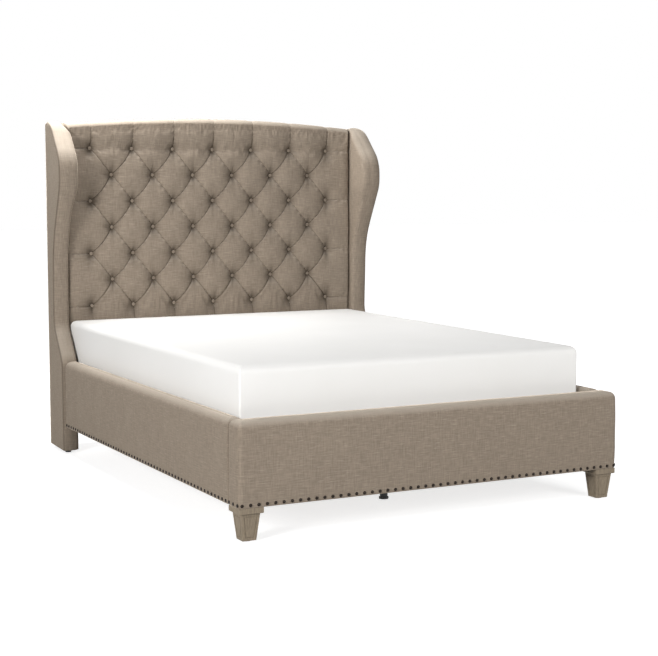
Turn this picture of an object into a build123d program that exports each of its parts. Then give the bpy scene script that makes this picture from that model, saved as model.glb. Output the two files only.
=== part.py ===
from build123d import *
import os
from math import cos, hypot, radians, sin

os.makedirs("parts", exist_ok=True)

# Wingback bed for a queen mattress. X runs across the bed, Y from the foot end to the headboard,
# Z up. The origin is on the floor, at the middle of the bed's outer length and width.

# Heights
leg_height = 127.0
upholstery_height = 314.0
headboard_height = 1594.0
arch_rise = 36.0

# Clearances, and how many sides small round pieces are drawn with
fit_gap = 0.5
soft_gap = 0.3
cut_overrun = 10.0
button_sides = 8
fastener_sides = 6
glide_sides = 16

# Mattress
mattress_width = 1520.0
mattress_length = 2032.0
mattress_thickness = 305.0
mattress_corner_radius = 30.0
mattress_edge_radius = 25.0
mattress_crown = 8.0
mattress_to_headboard = 4.0
mattress_foot_gap = 69.0
mattress_side_gap = 8.0

# Side rails and footboard
rail_thickness = 70.0
rail_outer_padding = 24.0
rail_top_padding = 14.0
rail_inner_padding = 6.0
rail_outer_round = 26.0
rail_inner_round = 20.0
footboard_depth = 100.0
footboard_front_padding = 16.0
footboard_top_padding = 14.0
footboard_side_padding = 12.0
footboard_back_padding = 6.0
footboard_top_round = 18.0
footboard_corner_round = 10.0

# Headboard layers, front to back
headboard_thickness = 65.0
pad_thickness = 31.0
panel_thickness = 9.0
back_cover_thickness = 3.0
pad_roll_thickness = 14.0
pad_top_round = 24.0
pad_side_round = 12.0
pad_below_deck = 12.0
cross_rail_width = 90.0
bottom_rail_width = 120.0
stile_width = 70.0
back_cover_drop = 30.0

# Diamond tufting
pad_side_margin = 125.5
button_row_pitch = 127.0
button_columns = 7
button_rows = 7
top_row_drop = 152.0
tuft_depth = 20.0
pillow_overlap_share = 1.15
dimple_radius = 13.0
dimple_extra_depth = 4.0
button_radius = 12.0
button_rim = 3.0
button_crown = 4.0

# Wings
wing_to_mattress = 2.0
wing_thickness = 78.0
wing_splay = 2.5
wing_bottom = 12.0
wing_top_drop = 32.0
wing_base_depth = 240.0
wing_waist_depth = 98.0
wing_chest_depth = 110.0
wing_bulge_depth = 247.0
wing_crest_depth = 84.0
wing_knee_drop = 6.0
wing_knee_to_waist = 165.0
knee_radius = 110.0
waist_radius = 110.0
chest_height_share = 0.4
bulge_low_height_share = 0.69
bulge_high_height_share = 0.82
chest_radius_share = 0.5
bulge_low_radius_share = 0.15
bulge_high_radius_share = 0.165
crest_radius_share = 0.155
wing_inner_padding = 16.0
wing_outer_padding = 6.0
wing_band_padding = 12.0
wing_leg_wrap = 4.0
wing_back_wrap = 3.0
wing_inner_round = 13.0
wing_outer_round = 5.0
head_ledge_start = 72.0
head_ledge_clearance = 4.0

# Slat deck
slat_deck_rise = 185.0
slat_thickness = 20.0
slat_width = 70.0
slat_count = 14
slat_side_gap = 5.0
slat_end_margin = 20.0
ledge_size = 30.0
beam_width = 40.0
beam_depth = 70.0
pocket_sheet = 3.0
pocket_length = 40.0
centre_leg_count = 3
centre_leg_radius = 16.0
centre_leg_plate = 60.0
centre_leg_plate_sheet = 3.0
centre_leg_end_share = 0.16
leveller_disc_radius = 20.0
leveller_disc_height = 8.0
leveller_stem_radius = 5.0
leveller_stem_length = 42.0
leveller_bore_depth = 60.0
leveller_running_gap = 0.08
webbing_width = 25.0
webbing_thickness = 1.2
webbing_spread_share = 0.66

# Feet
foot_cap_size = 96.0
foot_cap_height = 22.0
foot_cap_inset = 3.0
foot_cap_bevel = 2.0
foot_top_size = 76.0
foot_bottom_size = 54.0
foot_glide_height = 4.0
foot_glide_radius = 16.0
foot_panel_margin = 11.0
foot_panel_groove = 3.0
foot_panel_depth = 1.5
foot_bolt_radius = 4.0
foot_bolt_length = 90.0
foot_bolt_grip = 45.0
foot_plate_size = 70.0
foot_plate_sheet = 3.0
wing_glide_radius = 14.0
wing_glide_inset = 32.0

# Knock-down fittings
plate_sheet = 3.0
plate_width = 20.0
plate_height = 130.0
plate_centre_rise = 98.0
hook_sheet = 3.0
hook_reach = 9.0
hook_height = 26.0
hook_drop = 8.0
hook_spacing = 70.0
slot_clearance = 1.5
pocket_depth = 16.0
screw_head_radius = 4.5
screw_head_height = 2.0
screw_shank_radius = 2.0
screw_length = 22.0
screw_edge_inset = 9.0
bore_gap = 0.15
wing_bolt_radius = 3.0
wing_bolt_head_radius = 7.0
wing_bolt_head_height = 3.0
wing_bolt_length = 100.0
wing_bolt_height_shares = (0.2, 0.42, 0.78)

# Places worked out from the sizes above
head_and_foot = footboard_depth + mattress_foot_gap + mattress_to_headboard + headboard_thickness
overall_length = mattress_length + head_and_foot
y_front = -overall_length / 2
y_back = overall_length / 2
rail_inner = mattress_width / 2 + mattress_side_gap
rail_outer = rail_inner + rail_thickness
rail_top = leg_height + upholstery_height
slat_deck_height = leg_height + slat_deck_rise
plate_centre_height = leg_height + plate_centre_rise
pad_bottom_height = slat_deck_height - pad_below_deck
bottom_rail_bottom = pad_bottom_height - bottom_rail_width
back_cover_bottom = bottom_rail_bottom - back_cover_drop
footboard_back = y_front + footboard_depth
pad_front = y_back - headboard_thickness
panel_front = pad_front + pad_thickness
panel_back = panel_front + panel_thickness
back_cover_front = y_back - back_cover_thickness
wing_inner_half = mattress_width / 2 + wing_to_mattress
wing_top = headboard_height - wing_top_drop
wing_knee_height = rail_top - wing_knee_drop
wing_waist_height = wing_knee_height + wing_knee_to_waist
wing_upper_height = wing_top - wing_waist_height
wing_chest_height = wing_waist_height + chest_height_share * wing_upper_height
wing_bulge_low = wing_waist_height + bulge_low_height_share * wing_upper_height
wing_bulge_high = wing_waist_height + bulge_high_height_share * wing_upper_height
splay_sin = sin(radians(wing_splay))
splay_cos = cos(radians(wing_splay))
wing_back = y_back - wing_thickness * splay_sin
rail_head_end = wing_back - wing_base_depth * splay_cos - fit_gap
rail_foot_end = footboard_back + fit_gap
ledge_top = slat_deck_height - slat_thickness
pad_half = wing_inner_half - fit_gap
mattress_back = pad_front - mattress_to_headboard
mattress_front = mattress_back - mattress_length
outer_column = pad_half - pad_side_margin
button_column_pitch = 2 * outer_column / (button_columns - 1)
half_pitch = button_column_pitch / 2
top_row_height = headboard_height - top_row_drop
bottom_row_height = top_row_height - button_row_pitch * (button_rows - 1)
sides = (("left", -1), ("right", 1))
pieces = {}

# Cores inside the padded covers
board_outer = rail_outer - rail_outer_padding
board_inner = rail_inner + rail_inner_padding
board_top = rail_top - rail_top_padding
core_half = rail_outer - footboard_side_padding
core_front = y_front + footboard_front_padding
core_back = footboard_back - footboard_back_padding
core_top = rail_top - footboard_top_padding
wing_core_front = wing_back - (wing_base_depth - wing_band_padding) * splay_cos

# Places of the hook-and-socket fittings: (x, rail end, socket face, way from the rail into the socket)
hook_x = (board_inner + board_outer) / 2
fittings = []
for side, sign in sides:
    fittings.append((sign * hook_x, rail_foot_end, core_back, -1))
    fittings.append((sign * hook_x, rail_head_end, wing_core_front, 1))
plate_span = (plate_centre_height - plate_height / 2, plate_centre_height + plate_height / 2)
hook_heights = (plate_centre_height - hook_spacing / 2, plate_centre_height + hook_spacing / 2)
screw_heights = (plate_span[0] + screw_edge_inset, plate_span[1] - screw_edge_inset)
slot_width = hook_sheet + 2 * slot_clearance
slot_height = hook_height + hook_drop + 2 * slot_clearance

# Feet and beam
foot_centre_inset = foot_cap_inset + foot_cap_size / 2
foot_x = rail_outer - foot_centre_inset
foot_y = y_front + foot_centre_inset
foot_body_top = leg_height - foot_cap_height
foot_body_height = foot_body_top - foot_glide_height
foot_taper = (foot_top_size - foot_bottom_size) / 2
foot_slant = hypot(foot_body_height, foot_taper)
beam_bottom = ledge_top - beam_depth
frame_middle = (panel_back + back_cover_front) / 2
stile_inner = pad_half - stile_width
stile_top = headboard_height - arch_rise - pad_roll_thickness
wing_bolt_heights = []
for share in wing_bolt_height_shares:
    wing_bolt_heights.append(bottom_rail_bottom + share * (stile_top - bottom_rail_bottom))


def between(low, high):
    """Middle and size of a span, for placing a block by its two ends."""
    return (low + high) / 2, high - low


def block(x_span, y_span, z_span):
    """A block given by its spans along the three axes, added to the current piece."""
    x_mid, x_size = between(*x_span)
    y_mid, y_size = between(*y_span)
    z_mid, z_size = between(*z_span)
    with Locations((x_mid, y_mid, z_mid)):
        Box(x_size, y_size, z_size)


def rod(centre, direction, radius, length, sides=fastener_sides):
    """A bar of few sides from centre along direction, added to the current piece."""
    with BuildSketch(Plane(origin=centre, z_dir=direction)) as section:
        RegularPolygon(radius, sides)
    extrude(section.sketch, amount=length)


def arch_outline(half_width, bottom, drop):
    """Face of the headboard seen from the front, with its arched top lowered by drop."""
    crown = headboard_height - drop
    shoulder = crown - arch_rise * (half_width / pad_half) ** 2
    with BuildLine() as outline:
        Polyline((-half_width, shoulder), (-half_width, bottom), (half_width, bottom), (half_width, shoulder))
        ThreePointArc((half_width, shoulder), (0, crown), (-half_width, shoulder))
    make_face(outline.edges())


def front_plane(y):
    """Upright plane across the bed at y, seen from the foot end: X right, Z up."""
    return Plane(origin=(0, y, 0), x_dir=(1, 0, 0), z_dir=(0, -1, 0))


# Screws of the hook plates and socket plates, and the bores that take them and the wing bolts
with BuildPart() as fitting_screws:
    for x, rail_end, socket_face, way in fittings:
        for z in screw_heights:
            for face, inward in ((socket_face, way), (rail_end, -way)):
                rod((x, face, z), (0, inward, 0), screw_shank_radius, screw_length)
                rod((x, face, z), (0, -inward, 0), screw_head_radius, screw_head_height)
pieces["fitting_screws"] = fitting_screws

with BuildPart() as fitting_bores:
    for x, rail_end, socket_face, way in fittings:
        for z in screw_heights:
            for face, inward in ((socket_face, way), (rail_end, -way)):
                rod((x, face, z), (0, inward, 0), screw_shank_radius + bore_gap, screw_length + fit_gap)

with BuildPart() as wing_bolts:
    for side, sign in sides:
        for z in wing_bolt_heights:
            head_face = (sign * stile_inner, frame_middle, z)
            rod(head_face, (sign, 0, 0), wing_bolt_radius, wing_bolt_length)
            rod(head_face, (-sign, 0, 0), wing_bolt_head_radius, wing_bolt_head_height)
pieces["wing_bolts"] = wing_bolts

with BuildPart() as wing_bolt_bores:
    for side, sign in sides:
        for z in wing_bolt_heights:
            head_face = (sign * stile_inner, frame_middle, z)
            rod(head_face, (sign, 0, 0), wing_bolt_radius + bore_gap, wing_bolt_length + fit_gap)

# Headboard frame: a plywood panel in front of two stiles and three cross rails, closed at the back
with BuildPart() as headboard_panel:
    with BuildSketch(front_plane(panel_back)):
        arch_outline(pad_half, pad_bottom_height, pad_roll_thickness)
    extrude(amount=panel_thickness)
pieces["headboard_panel"] = headboard_panel

frame_span = (panel_back, back_cover_front)
for side, sign in sides:
    with BuildPart() as stile:
        block(sorted((sign * stile_inner, sign * pad_half)), frame_span, (bottom_rail_bottom, stile_top))
        add(wing_bolt_bores.part, mode=Mode.SUBTRACT)
    pieces["headboard_stile_" + side] = stile

with BuildPart() as headboard_top_rail:
    with BuildSketch(front_plane(back_cover_front)):
        arch_outline(stile_inner, headboard_height - arch_rise - cross_rail_width, pad_roll_thickness)
    extrude(amount=back_cover_front - panel_back)
pieces["headboard_top_rail"] = headboard_top_rail

middle_rail_height = (pad_bottom_height + headboard_height) / 2
with BuildPart() as headboard_middle_rail:
    middle_span = (middle_rail_height - cross_rail_width / 2, middle_rail_height + cross_rail_width / 2)
    block((-stile_inner, stile_inner), frame_span, middle_span)
pieces["headboard_middle_rail"] = headboard_middle_rail

with BuildPart() as headboard_bottom_rail:
    block((-stile_inner, stile_inner), frame_span, (bottom_rail_bottom, pad_bottom_height))
pieces["headboard_bottom_rail"] = headboard_bottom_rail

with BuildPart() as headboard_back_cover:
    with BuildSketch(front_plane(y_back)):
        arch_outline(pad_half, back_cover_bottom, 0)
    extrude(amount=back_cover_thickness)
    back_edges = headboard_back_cover.faces().sort_by(Axis.Y)[-1].edges()
    chamfer(back_edges, length=back_cover_thickness / 3)
pieces["headboard_back_cover"] = headboard_back_cover

# Tufted pad. Each crease is a groove whose two flanks ease out to the pad's face. The two slanting
# families of grooves are cut off level with the outer rows, where the upright and level pleats go on.
crease_reach_shares = (0, 0.16, 0.45, 1)
crease_length = hypot(half_pitch, button_row_pitch)
slant_reach = 2 * half_pitch * button_row_pitch / crease_length / 2 * pillow_overlap_share
pleat_reach = half_pitch * pillow_overlap_share
level_reach = button_row_pitch * pillow_overlap_share


def crease(start, end, reach):
    """Groove along the pad's front from start to end, each an (x, z) place, as wide as reach each way."""
    run = Vector(end[0] - start[0], 0, end[1] - start[1])
    plane = Plane(origin=(start[0], pad_front, start[1]), x_dir=run.cross(Vector(0, 1, 0)), z_dir=run)
    with BuildSketch(plane) as groove:
        inward = 1 if plane.y_dir.Y > 0 else -1
        deep = inward * tuft_depth
        out = -inward * cut_overrun
        flank = [(share * reach, deep * (1 - share) ** 2) for share in crease_reach_shares]
        other_flank = [(-x, y) for x, y in reversed(flank[1:])]
        with BuildLine():
            Polyline(*other_flank, *flank, (reach, out), (-reach, out), close=True)
        make_face()
    extrude(groove.sketch, amount=run.length)


def button_places():
    """Button centres (x, z), odd rows with one button more than even rows."""
    places = []
    for row in range(button_rows):
        count = button_columns - row % 2
        for column in range(count):
            x = (column - (count - 1) / 2) * button_column_pitch
            places.append((x, top_row_height - row * button_row_pitch))
    return places


with BuildPart() as creases_slanting:
    steps = button_rows - 1
    for lean in (-1, 1):
        for start_column in range(-steps + 2, 2 * (button_columns - 1), 2):
            top_column = max(start_column, 0)
            top_row = max(-start_column, 0)
            run_steps = min(steps - top_row, 2 * (button_columns - 1) - top_column)
            x_start = lean * (-outer_column + top_column * half_pitch)
            z_start = top_row_height - top_row * button_row_pitch
            x_end = x_start + lean * run_steps * half_pitch
            z_end = z_start - run_steps * button_row_pitch
            x_over = lean * half_pitch
            z_over = button_row_pitch
            crease((x_start - x_over, z_start + z_over), (x_end + x_over, z_end - z_over), slant_reach)
    with Locations((0, pad_front, (top_row_height + bottom_row_height) / 2)):
        tufted_height = top_row_height - bottom_row_height
        Box(2 * outer_column, 4 * tuft_depth, tufted_height, mode=Mode.INTERSECT)

with BuildPart() as pleats:
    for column in range(button_columns):
        x = -outer_column + column * button_column_pitch
        crease((x, top_row_height), (x, headboard_height + cut_overrun), pleat_reach)
        crease((x, pad_bottom_height - cut_overrun), (x, bottom_row_height), pleat_reach)
    for row in range(0, button_rows, 2):
        z = top_row_height - row * button_row_pitch
        for side, sign in sides:
            crease((sign * outer_column, z), (sign * (pad_half + cut_overrun), z), level_reach)

with BuildPart() as headboard_tufted_pad:
    with BuildSketch(front_plane(back_cover_front)):
        arch_outline(pad_half, pad_bottom_height, 0)
    extrude(amount=back_cover_front - pad_front)
    front = headboard_tufted_pad.faces().sort_by(Axis.Y)[0]
    arch_edge = front.edges().sort_by(Axis.Z)[-1]
    fillet(arch_edge, radius=pad_top_round)
    front = headboard_tufted_pad.faces().filter_by(Axis.Y).sort_by(Axis.Y)[0]
    fillet(front.edges().filter_by(Axis.Z), radius=pad_side_round)
    with BuildSketch(front_plane(back_cover_front)):
        arch_outline(pad_half + cut_overrun, pad_bottom_height - cut_overrun, pad_roll_thickness)
    extrude(amount=back_cover_front - panel_front, mode=Mode.SUBTRACT)
    add(creases_slanting.part, mode=Mode.SUBTRACT)
    add(pleats.part, mode=Mode.SUBTRACT)
    seat_depth = tuft_depth + dimple_extra_depth
    with BuildSketch(front_plane(pad_front + seat_depth)):
        with Locations(*button_places()):
            RegularPolygon(dimple_radius, button_sides)
    extrude(amount=seat_depth + cut_overrun, mode=Mode.SUBTRACT)
pieces["headboard_tufted_pad"] = headboard_tufted_pad

# Fabric-covered buttons, each crowned and seated at the bottom of its dimple
with BuildPart() as headboard_buttons:
    with BuildSketch(front_plane(pad_front + seat_depth)):
        with Locations(*button_places()):
            RegularPolygon(button_radius, button_sides)
    extrude(amount=button_rim + button_crown)
    crown_edges = headboard_buttons.faces().group_by(Axis.Y)[0].edges()
    chamfer(crown_edges, length=button_crown)
pieces["headboard_buttons"] = headboard_buttons

# Wings. The outline lies in the plane of the wing's inner face, which leans outward by the splay.
inner_face_plane = Plane(
    origin=(wing_inner_half, wing_back, 0),
    x_dir=(splay_sin, -splay_cos, 0),
    z_dir=(-splay_cos, -splay_sin, 0),
)
outward = Vector(splay_cos, splay_sin, 0)


def wing_outline():
    """The wing seen from the side: straight leg, knee, waist, bulge and rounded crest."""
    with BuildLine() as outline:
        FilletPolyline(
            (0, wing_bottom),
            (wing_base_depth, wing_bottom),
            (wing_base_depth, wing_knee_height),
            (wing_waist_depth, wing_waist_height),
            (wing_chest_depth, wing_chest_height),
            (wing_bulge_depth, wing_bulge_low),
            (wing_bulge_depth, wing_bulge_high),
            (wing_crest_depth, wing_top),
            (0, wing_top),
            radius=(
                0,
                knee_radius,
                waist_radius,
                chest_radius_share * wing_upper_height,
                bulge_low_radius_share * wing_upper_height,
                bulge_high_radius_share * wing_upper_height,
                crest_radius_share * wing_upper_height,
            ),
        )
        Line((0, wing_top), (0, wing_bottom))
    make_face(outline.edges())


def wing_layer(depth):
    """The plane of the wing's outline, moved outward by depth."""
    return Plane(
        origin=inner_face_plane.origin + outward * depth,
        x_dir=inner_face_plane.x_dir,
        z_dir=inner_face_plane.z_dir,
    )


def socket_seats(y_face):
    """Cut a recess for each socket plate, and a pocket behind it for the hooks, in the face at y_face."""
    for side, sign in sides:
        with Locations((sign * hook_x, y_face, plate_centre_height - hook_drop / 2)):
            Box(slot_width, 2 * pocket_depth, hook_spacing + slot_height, mode=Mode.SUBTRACT)
        with Locations((sign * hook_x, y_face, plate_centre_height)):
            Box(plate_width + fit_gap, 2 * plate_sheet, plate_height + fit_gap, mode=Mode.SUBTRACT)


def band_edges(face, lowest):
    """Edges of a wing's broad face along its front band and crest, above lowest."""
    behind = wing_back - 2 * fit_gap
    upper = face.edges().filter_by(lambda edge: edge.center().Z > lowest + fit_gap)
    return upper.filter_by(lambda edge: edge.center().Y < behind)


with BuildPart() as wing_right_core:
    with BuildSketch(wing_layer(wing_inner_padding)):
        wing_outline()
        offset(amount=-wing_band_padding)
        foot_mid, foot_size = between(wing_back_wrap, wing_base_depth - wing_band_padding)
        with Locations((foot_mid, wing_bottom + wing_band_padding)):
            Rectangle(foot_size, 2 * wing_band_padding)
        back_height = wing_top - wing_band_padding - wing_bottom
        with Locations((wing_band_padding, wing_bottom + back_height / 2)):
            Rectangle(2 * (wing_band_padding - wing_back_wrap), back_height)
    extrude(amount=-(wing_thickness - wing_inner_padding - wing_outer_padding))

with BuildPart() as wing_right_frame:
    add(wing_right_core.part)
    socket_seats(wing_core_front)
    add(fitting_bores.part, mode=Mode.SUBTRACT)
    add(wing_bolt_bores.part, mode=Mode.SUBTRACT)
pieces["wing_right_frame"] = wing_right_frame

with BuildPart() as wing_right_cover:
    with BuildSketch(inner_face_plane):
        wing_outline()
    extrude(amount=-wing_thickness)
    with BuildSketch(inner_face_plane):
        with Locations((wing_base_depth / 2, leg_height / 2)):
            Rectangle(wing_base_depth + 2 * cut_overrun, leg_height)
    extrude(amount=-(wing_inner_padding - wing_leg_wrap), mode=Mode.SUBTRACT)
    across = Axis((wing_inner_half, wing_back, 0), (splay_cos, splay_sin, 0))
    broad_faces = wing_right_cover.faces().filter_by(lambda face: abs(face.normal_at().dot(outward)) > 0.99)
    inner_broad = broad_faces.sort_by(Axis.Z)[-2:].sort_by(across)[0]
    outer_broad = broad_faces.sort_by(across)[-1]
    fillet(band_edges(inner_broad, leg_height), radius=wing_inner_round)
    chamfer(band_edges(outer_broad, wing_bottom), length=wing_outer_round)
    add(wing_right_core.part, mode=Mode.SUBTRACT)
    with Locations((hook_x, rail_head_end, plate_centre_height)):
        Box(plate_width, 4 * wing_band_padding, plate_height, mode=Mode.SUBTRACT)
    add(wing_bolt_bores.part, mode=Mode.SUBTRACT)
pieces["wing_right_cover"] = wing_right_cover

with BuildPart() as wing_left_frame:
    mirror(wing_right_frame.part, about=Plane.YZ)
pieces["wing_left_frame"] = wing_left_frame

with BuildPart() as wing_left_cover:
    mirror(wing_right_cover.part, about=Plane.YZ)
pieces["wing_left_cover"] = wing_left_cover

# Short ledges screwed to the wings, which carry the slats behind the rails' ends
with BuildPart() as head_ledge_right:
    with BuildSketch(inner_face_plane):
        u_mid, u_size = between(head_ledge_start, wing_base_depth - head_ledge_clearance)
        with Locations((u_mid, ledge_top - ledge_size / 2)):
            Rectangle(u_size, ledge_size)
    extrude(amount=ledge_size)
pieces["head_ledge_right"] = head_ledge_right

with BuildPart() as head_ledge_left:
    mirror(head_ledge_right.part, about=Plane.YZ)
pieces["head_ledge_left"] = head_ledge_left

# Footboard: a timber core in a padded cover that is open underneath
with BuildPart() as foot_bolts:
    for side, sign in sides:
        bolt_start = (sign * foot_x, foot_y, foot_body_top - foot_bolt_grip)
        rod(bolt_start, (0, 0, 1), foot_bolt_radius, foot_bolt_length)
pieces["foot_bolts"] = foot_bolts

with BuildPart() as foot_bolt_bores:
    for side, sign in sides:
        bore_start = (sign * foot_x, foot_y, foot_body_top - foot_bolt_grip - fit_gap)
        rod(bore_start, (0, 0, 1), foot_bolt_radius + bore_gap, foot_bolt_length + 2 * fit_gap)

with BuildPart() as foot_plates:
    for side, sign in sides:
        with BuildSketch(Plane(origin=(sign * foot_x, foot_y, leg_height))):
            Rectangle(foot_plate_size, foot_plate_size)
    extrude(amount=foot_plate_sheet)
    add(foot_bolt_bores.part, mode=Mode.SUBTRACT)
pieces["foot_plates"] = foot_plates

with BuildPart() as footboard_core:
    block((-core_half, core_half), (core_front, core_back), (leg_height, core_top))
    socket_seats(core_back)
    with Locations((-foot_x, foot_y, leg_height), (foot_x, foot_y, leg_height)):
        Box(foot_plate_size + fit_gap, foot_plate_size + fit_gap, 2 * foot_plate_sheet, mode=Mode.SUBTRACT)
    add(fitting_bores.part, mode=Mode.SUBTRACT)
    add(foot_bolt_bores.part, mode=Mode.SUBTRACT)
pieces["footboard_core"] = footboard_core

with BuildPart() as footboard_cover:
    block((-rail_outer, rail_outer), (y_front, footboard_back), (leg_height, rail_top))
    fillet(footboard_cover.edges().filter_by(Axis.Z), radius=footboard_corner_round)
    fillet(footboard_cover.faces().sort_by(Axis.Z)[-1].edges(), radius=footboard_top_round)
    with BuildSketch(Plane(origin=(0, (core_front + core_back) / 2, 0))):
        Rectangle(2 * core_half, core_back - core_front)
    extrude(amount=core_top, mode=Mode.SUBTRACT)
    for side, sign in sides:
        with Locations((sign * hook_x, footboard_back, plate_centre_height)):
            Box(plate_width, 4 * footboard_back_padding, plate_height, mode=Mode.SUBTRACT)
pieces["footboard_cover"] = footboard_cover

# Side rails: a board in a padded cover with a rounded top, and a slat ledge on the inner face
for side, sign in sides:
    with BuildPart() as rail_board:
        board_y = (rail_foot_end + plate_sheet, rail_head_end - plate_sheet)
        block(sorted((sign * board_inner, sign * board_outer)), board_y, (leg_height, board_top))
        add(fitting_bores.part, mode=Mode.SUBTRACT)
    pieces["rail_" + side + "_board"] = rail_board

    with BuildPart() as rail_cover:
        rail_y = (rail_foot_end, rail_head_end)
        block(sorted((sign * rail_inner, sign * rail_outer)), rail_y, (leg_height, rail_top))
        top_edges = rail_cover.faces().sort_by(Axis.Z)[-1].edges().filter_by(Axis.Y).sort_by(Axis.X)
        fillet(top_edges[-1] if sign > 0 else top_edges[0], radius=rail_outer_round)
        flat_top = rail_cover.faces().filter_by(Axis.Z).sort_by(Axis.Z)[-1]
        top_edges = flat_top.edges().filter_by(Axis.Y).sort_by(Axis.X)
        fillet(top_edges[0] if sign > 0 else top_edges[-1], radius=rail_inner_round)
        with BuildSketch(Plane(origin=(sign * hook_x, (rail_foot_end + rail_head_end) / 2, 0))):
            Rectangle(board_outer - board_inner, rail_head_end - rail_foot_end + cut_overrun)
        extrude(amount=board_top, mode=Mode.SUBTRACT)
    pieces["rail_" + side + "_cover"] = rail_cover

    with BuildPart() as rail_ledge:
        ledge_x = sorted((sign * rail_inner, sign * (rail_inner - ledge_size)))
        block(ledge_x, (rail_foot_end, rail_head_end - fit_gap), (ledge_top - ledge_size, ledge_top))
    pieces["rail_" + side + "_ledge"] = rail_ledge

# Knock-down fittings: hook plates on the rail ends drop into slotted plates in the wings and footboard
with BuildPart() as rail_hook_plates:
    for x, rail_end, socket_face, way in fittings:
        board_end = rail_end - way * plate_sheet
        block((x - plate_width / 2, x + plate_width / 2), sorted((board_end, rail_end)), plate_span)
        past = socket_face + way * (plate_sheet + fit_gap)
        tip = past + way * hook_reach
        for z in hook_heights:
            with BuildSketch(Plane(origin=(x - hook_sheet / 2, 0, z), x_dir=(0, 1, 0), z_dir=(1, 0, 0))):
                with BuildLine():
                    Polyline(
                        (board_end, hook_height / 2),
                        (tip, hook_height / 2),
                        (tip, -hook_height / 2 - hook_drop),
                        (past, -hook_height / 2 - hook_drop),
                        (past, -hook_height / 2),
                        (board_end, -hook_height / 2),
                        close=True,
                    )
                make_face()
            extrude(amount=hook_sheet)
    add(fitting_bores.part, mode=Mode.SUBTRACT)
pieces["rail_hook_plates"] = rail_hook_plates

with BuildPart() as socket_plates:
    for x, rail_end, socket_face, way in fittings:
        plate_y = sorted((socket_face, socket_face + way * plate_sheet))
        block((x - plate_width / 2, x + plate_width / 2), plate_y, plate_span)
        for z in hook_heights:
            with Locations((x, socket_face, z - hook_drop / 2)):
                Box(slot_width, 4 * plate_sheet, slot_height, mode=Mode.SUBTRACT)
    add(fitting_bores.part, mode=Mode.SUBTRACT)
pieces["socket_plates"] = socket_plates

# Front feet: square cap under the footboard's corner, tapered body with a routed panel on each face
for side, sign in sides:
    with BuildPart() as foot_cap:
        with BuildSketch(Plane(origin=(sign * foot_x, foot_y, foot_body_top))):
            Rectangle(foot_cap_size, foot_cap_size)
        extrude(amount=foot_cap_height)
        chamfer(foot_cap.faces().sort_by(Axis.Z)[0].edges(), length=foot_cap_bevel)
        add(foot_bolt_bores.part, mode=Mode.SUBTRACT)
    pieces["foot_cap_" + side] = foot_cap

    with BuildPart() as foot:
        with BuildSketch(Plane(origin=(sign * foot_x, foot_y, foot_body_top))):
            Rectangle(foot_top_size, foot_top_size)
        extrude(amount=-foot_body_height)
        cheeks = []
        for out_x, out_y in ((1, 0), (0, 1), (-1, 0), (0, -1)):
            edge_x = sign * foot_x + out_x * foot_top_size / 2
            edge_y = foot_y + out_y * foot_top_size / 2
            cheek = Plane(
                origin=(edge_x, edge_y, foot_body_top),
                x_dir=(-out_y, out_x, 0),
                z_dir=(out_x, out_y, -foot_taper / foot_body_height),
            )
            split(bisect_by=cheek, keep=Keep.BOTTOM)
            cheeks.append(cheek)
        for cheek in cheeks:
            with BuildSketch(cheek):
                with BuildLine():
                    half_top = foot_top_size / 2
                    half_low = foot_bottom_size / 2
                    Polyline(
                        (-half_top, 0),
                        (half_top, 0),
                        (half_low, -foot_slant),
                        (-half_low, -foot_slant),
                        close=True,
                    )
                make_face()
                offset(amount=-foot_panel_margin, kind=Kind.INTERSECTION, mode=Mode.REPLACE)
                offset(amount=-foot_panel_groove, kind=Kind.INTERSECTION, mode=Mode.SUBTRACT)
            extrude(amount=-foot_panel_depth, mode=Mode.SUBTRACT)
        add(foot_bolt_bores.part, mode=Mode.SUBTRACT)
    pieces["foot_" + side] = foot

with BuildPart() as foot_glides:
    for side, sign in sides:
        rod((sign * foot_x, foot_y, 0), (0, 0, 1), foot_glide_radius, foot_glide_height, sides=glide_sides)
pieces["foot_glides"] = foot_glides

# Glides under the wings, one near the front and one near the back of each
with BuildPart() as wing_glides:
    for side, sign in sides:
        for depth in (wing_glide_inset, wing_base_depth - wing_glide_inset - wing_band_padding):
            middle = wing_inner_padding + (wing_thickness - wing_inner_padding - wing_outer_padding) / 2
            x = wing_inner_half + middle * splay_cos + depth * splay_sin
            y = wing_back + middle * splay_sin - depth * splay_cos
            rod((sign * x, y, 0), (0, 0, 1), wing_glide_radius, wing_bottom, sides=glide_sides)
pieces["wing_glides"] = wing_glides

# Slat deck: slats on the ledges and on a centre beam, held at their pitch by two webbing straps
first_slat = footboard_back + slat_end_margin + slat_width / 2
last_slat = mattress_back - slat_end_margin - slat_width / 2
slat_pitch = (last_slat - first_slat) / (slat_count - 1)
slat_half = rail_inner - slat_side_gap
with BuildPart() as slats:
    for index in range(slat_count):
        y = first_slat + index * slat_pitch
        slat_y = (y - slat_width / 2, y + slat_width / 2)
        block((-slat_half, slat_half), slat_y, (ledge_top, slat_deck_height))
pieces["slats"] = slats

with BuildPart() as slat_webbing:
    for side, sign in sides:
        x = sign * slat_half * webbing_spread_share
        webbing_x = (x - webbing_width / 2, x + webbing_width / 2)
        webbing_y = (first_slat - slat_width / 2, last_slat + slat_width / 2)
        block(webbing_x, webbing_y, (ledge_top - webbing_thickness, ledge_top))
pieces["slat_webbing"] = slat_webbing

beam_foot_end = footboard_back + pocket_sheet + fit_gap
beam_head_end = panel_back - pocket_sheet - fit_gap
with BuildPart() as centre_beam:
    block((-beam_width / 2, beam_width / 2), (beam_foot_end, beam_head_end), (beam_bottom, ledge_top))
pieces["centre_beam"] = centre_beam

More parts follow.
